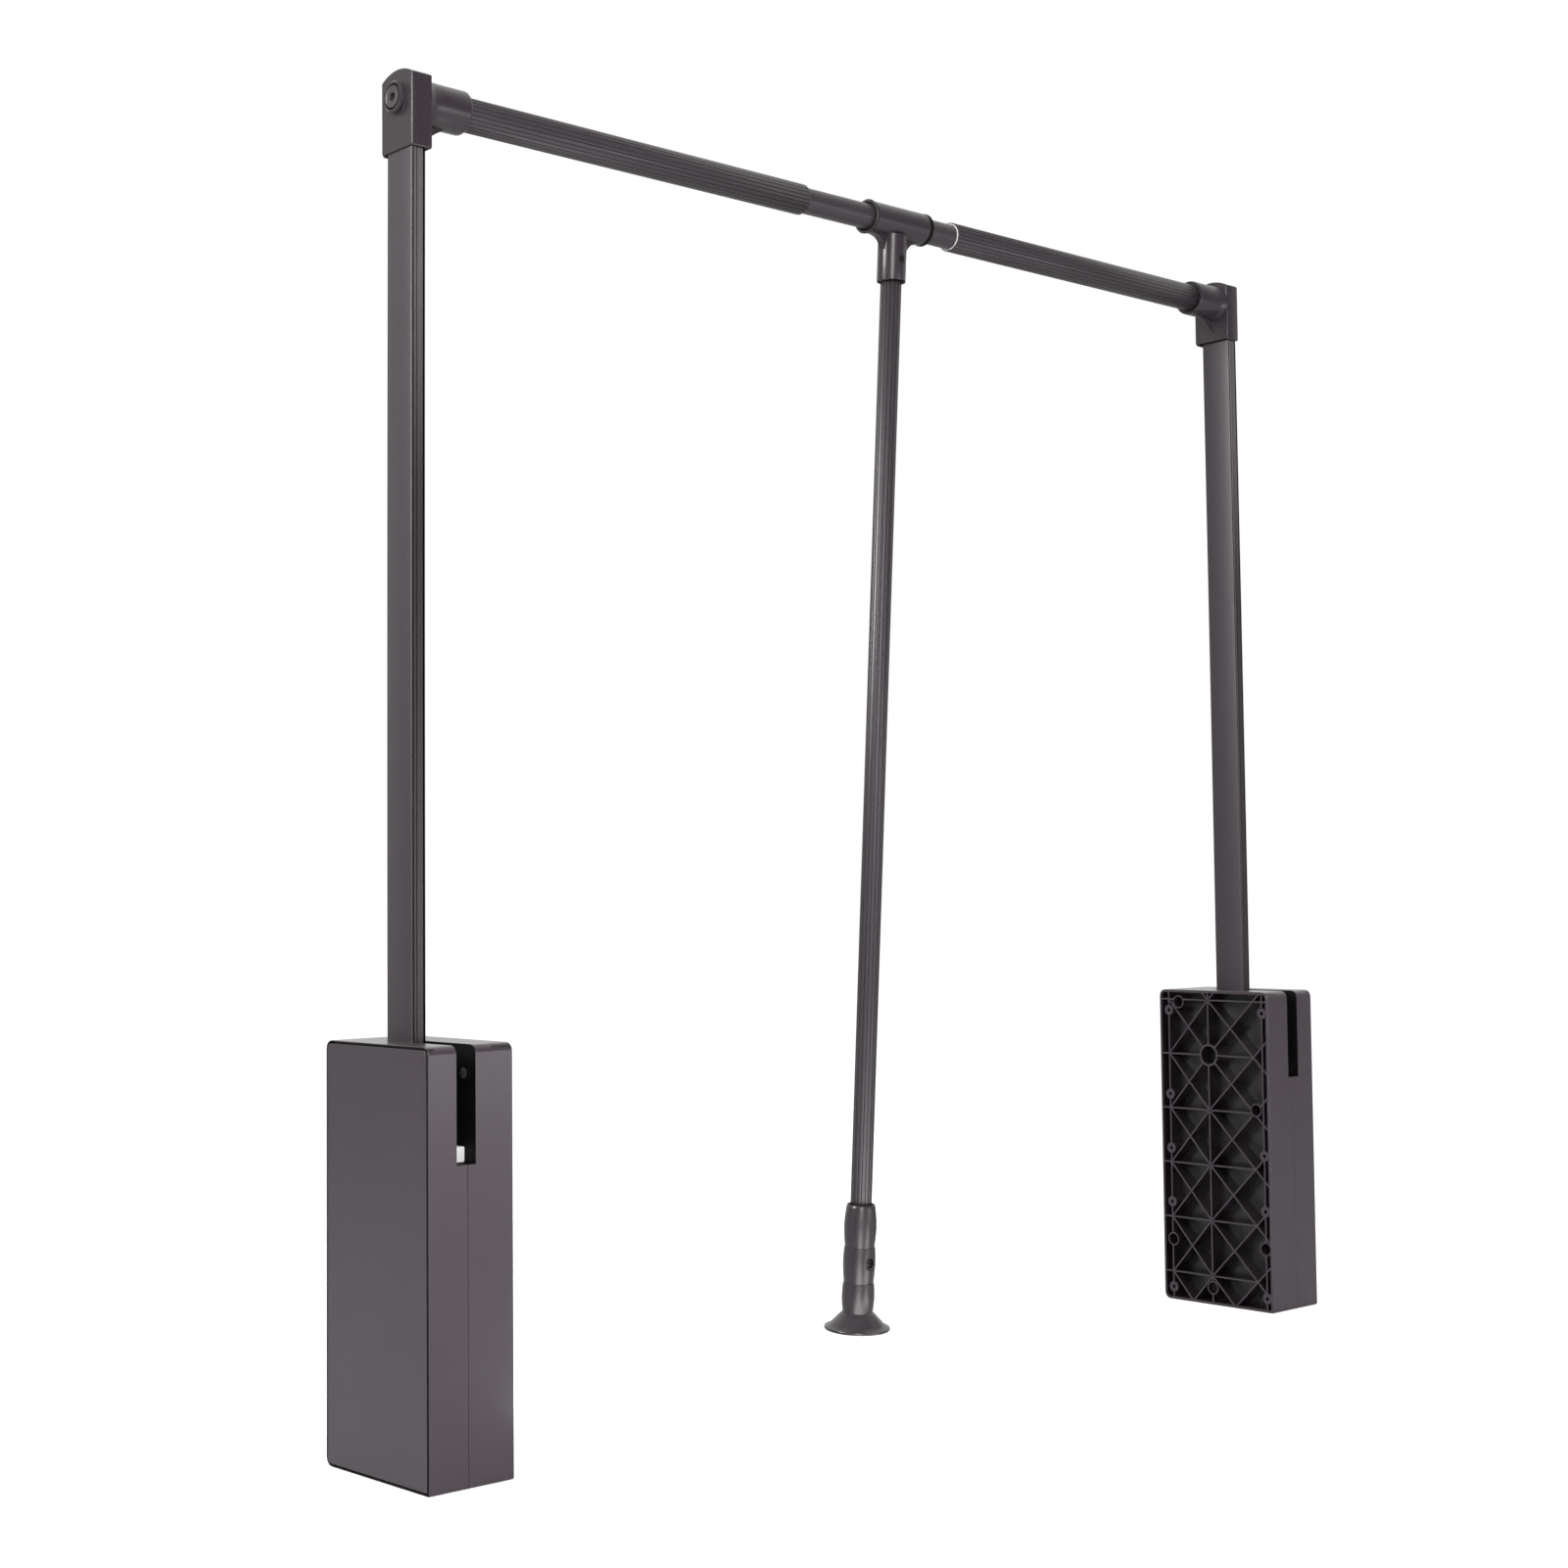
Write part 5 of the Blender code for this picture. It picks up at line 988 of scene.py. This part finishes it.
# Painted shade: the barrel's end faces against the collars, and the sleeve's foot round the rod,
# are painted black.
paint_shade_on_faces(tee, lambda at: (at[:, 0] < tee_left + tee_end) | (at[:, 0] > tee_right - tee_end))
paint_shade_on_faces(tee, lambda at: (np.abs(at[:, 0] - tee_x) < sleeve_radius - sleeve_rim)
           & (at[:, 2] < foot + sleeve_painted_shade_height)
           & (at[:, 2] < foot + tee_end + np.abs(at[:, 1] - arm_set_back) * math.tan(lean)))
for label, face, end, radius, way in collars:
    collar = lathed(label + "_ring", "X", bar_axis, [
        (face + way * collar_start, collar_bore), (face + way * collar_start, collar_neck),
        (face + way * collar_groove, collar_neck),
        (face + way * collar_groove, radius - collar_bevel), (face + way * collar_step, radius),
        (end - way * collar_edge, radius), (end, radius - collar_edge), (end, collar_mouth),
        (end - way * collar_depth, collar_hole), (end - way * collar_depth, collar_bore)],
        loop=True)
    fit(collar, label, "pull_rod_set", collar_rubber if way < 0 else black_rubber)
    # Painted shade: the collar's groove floor and bore are painted black.
    paint_shade_on_faces(collar, lambda at: np.hypot(at[:, 1] - arm_set_back,
                                           at[:, 2] - bar_height) < collar_painted_shade_radius)
cross_screw("tee_screw_head", "tee_screw", screw_drop, screw_out, screw_radius)

# The pull rod: a fluted aluminium tube in the same coat, fixed in the sleeve and in a moulded
# grip of three soft bulges. Small ledges part the bulges and a thin disc closes the foot.
rod_flutes, rod_wall = 16, 0.0012
rod_top, rod_foot = 0.0155, 0.9457
grip_top, grip_foot = 0.8450, 0.9520
grip_top_radius, grip_edge = 0.0122, 0.0006
bulges = ((0.0364, 0.0140, 0.0128), (0.0306, 0.0140, 0.0128), (0.0253, 0.01414, 0.0131))
bulge_start, bulge_points = 0.06, 18
ledge, ledge_run = 0.0006, 0.0002
disc_radius, disc_thickness = 0.02835, 0.0035
disc_shape = ((0.0022, 0.0002), (0.0018, 0.0), (0.0004, 0.0), (0.0, 0.0004))
flare_radius, flare_start, flare_points = 0.0245, 0.1, 8
grip_play, rod_ring = 0.0003, 0.0018
grip_well = ((0.018, 0.0), (0.018, 0.0066), (0.0131, 0.0064), (0.0131, 0.0042), (0.0112, 0.0042),
             (0.0112, 0.0))
bore_painted_shade_front, well_bottom, well_reach = 0.0112, 0.0111, 0.00421
grip_screw_drop, grip_screw_out, grip_screw_radius = 0.8941, 0.0126, 0.0034

hung(fluted_tube("pull_bar", "pull_rod", "pull_rod_set", "XY", upright, bar_height - rod_top,
                 bar_height - rod_foot, rod_radius, rod_radius - rod_wall, rod_flutes))


def grip_profile():
    """The grip's outer profile downwards: three half-sine bulges over straight runs, a ledge
    after each, a flare of constant slope and a thin disc."""
    drop, start = grip_top, grip_top_radius
    profile = [(drop, start - grip_edge), (drop + grip_edge, start)]
    for length, bulge, end in bulges:
        share = np.linspace(bulge_start, 1.0, bulge_points)
        swell = (bulge - (start + end) / 2) * np.sin(math.pi * share)
        profile += list(zip(drop + share * length, start + (end - start) * share + swell))
        drop += length
        start = end + ledge
        profile.append((drop + ledge_run, start))
    share = np.linspace(flare_start, 1.0, flare_points)
    profile += list(zip(drop + (grip_foot - disc_thickness - drop) * share,
                        start + (flare_radius - start) * share))
    return profile + [(grip_foot - up, disc_radius - less) for up, less in disc_shape]


def grip_painted_shade(at):
    """Painted shade: true in the bore round the rod's foot and on the floor of the screw's well."""
    round_rod = np.hypot(at[:, 0] - tee_x, at[:, 1] - arm_set_back) < rod_radius + rod_ring
    in_well = np.hypot(at[:, 0] - tee_x, at[:, 2] - bar_height + grip_screw_drop) < well_reach
    return (round_rod & (at[:, 2] > bar_height - rod_foot) & (at[:, 1] > arm_set_back - bore_painted_shade_front)
            | in_well & (at[:, 1] < arm_set_back - well_bottom))


bore, bore_foot = rod_radius + grip_play, rod_foot + grip_play
profile = [(bore_foot, 0.0), (bore_foot, bore), (grip_top, bore), *grip_profile(), (grip_foot, 0.0)]
grip = lathed("handle", "Z", upright, [(bar_height - drop, radius) for drop, radius in profile])
grip = carved("handle", grip, from_front("grip_well", grip_screw_drop, grip_well))
fit(grip, "grip", "pull_rod_set", gloss_plastic)
# Painted shade: the bore round the rod's foot and the floor of the screw's well are painted black.
paint_shade_on_faces(grip, grip_painted_shade)
hung(grip)
cross_screw("grip_screw_head", "grip_screw", grip_screw_drop, grip_screw_out, grip_screw_radius)

# Whatever is still a CAD piece takes the finish that the record names for it; but the cheek
# screws take the bolts' finish, and the pivot axles and lower pins take painted shade's near-black.
finish_of = {
    "graphite_plastic": graphite_plastic, "graphite_enamel": graphite_enamel,
    "strip_grey": strip_grey, "black_rubber": black_rubber, "black_screw": black_screw,
    "white_nylon": white_nylon, "zinc_steel": zinc_steel, "spring_steel": spring_steel}
slot_of = {entry["node"]: entry["material_slot"] for entry in frame["record"]["subparts"]}
for name, node in frame["nodes"].items():
    for slot in node.material_slots:
        slot.material = finish_of[slot_of[name]]
        if name.endswith("cheek_screw"):
            slot.material = bolt_grey
        # Painted shade: the pivot axles and lower pins are painted near-black, as dark as a hole.
        elif name.endswith(("pivot_axle", "lower_pin")):
            slot.material = painted_shade_black
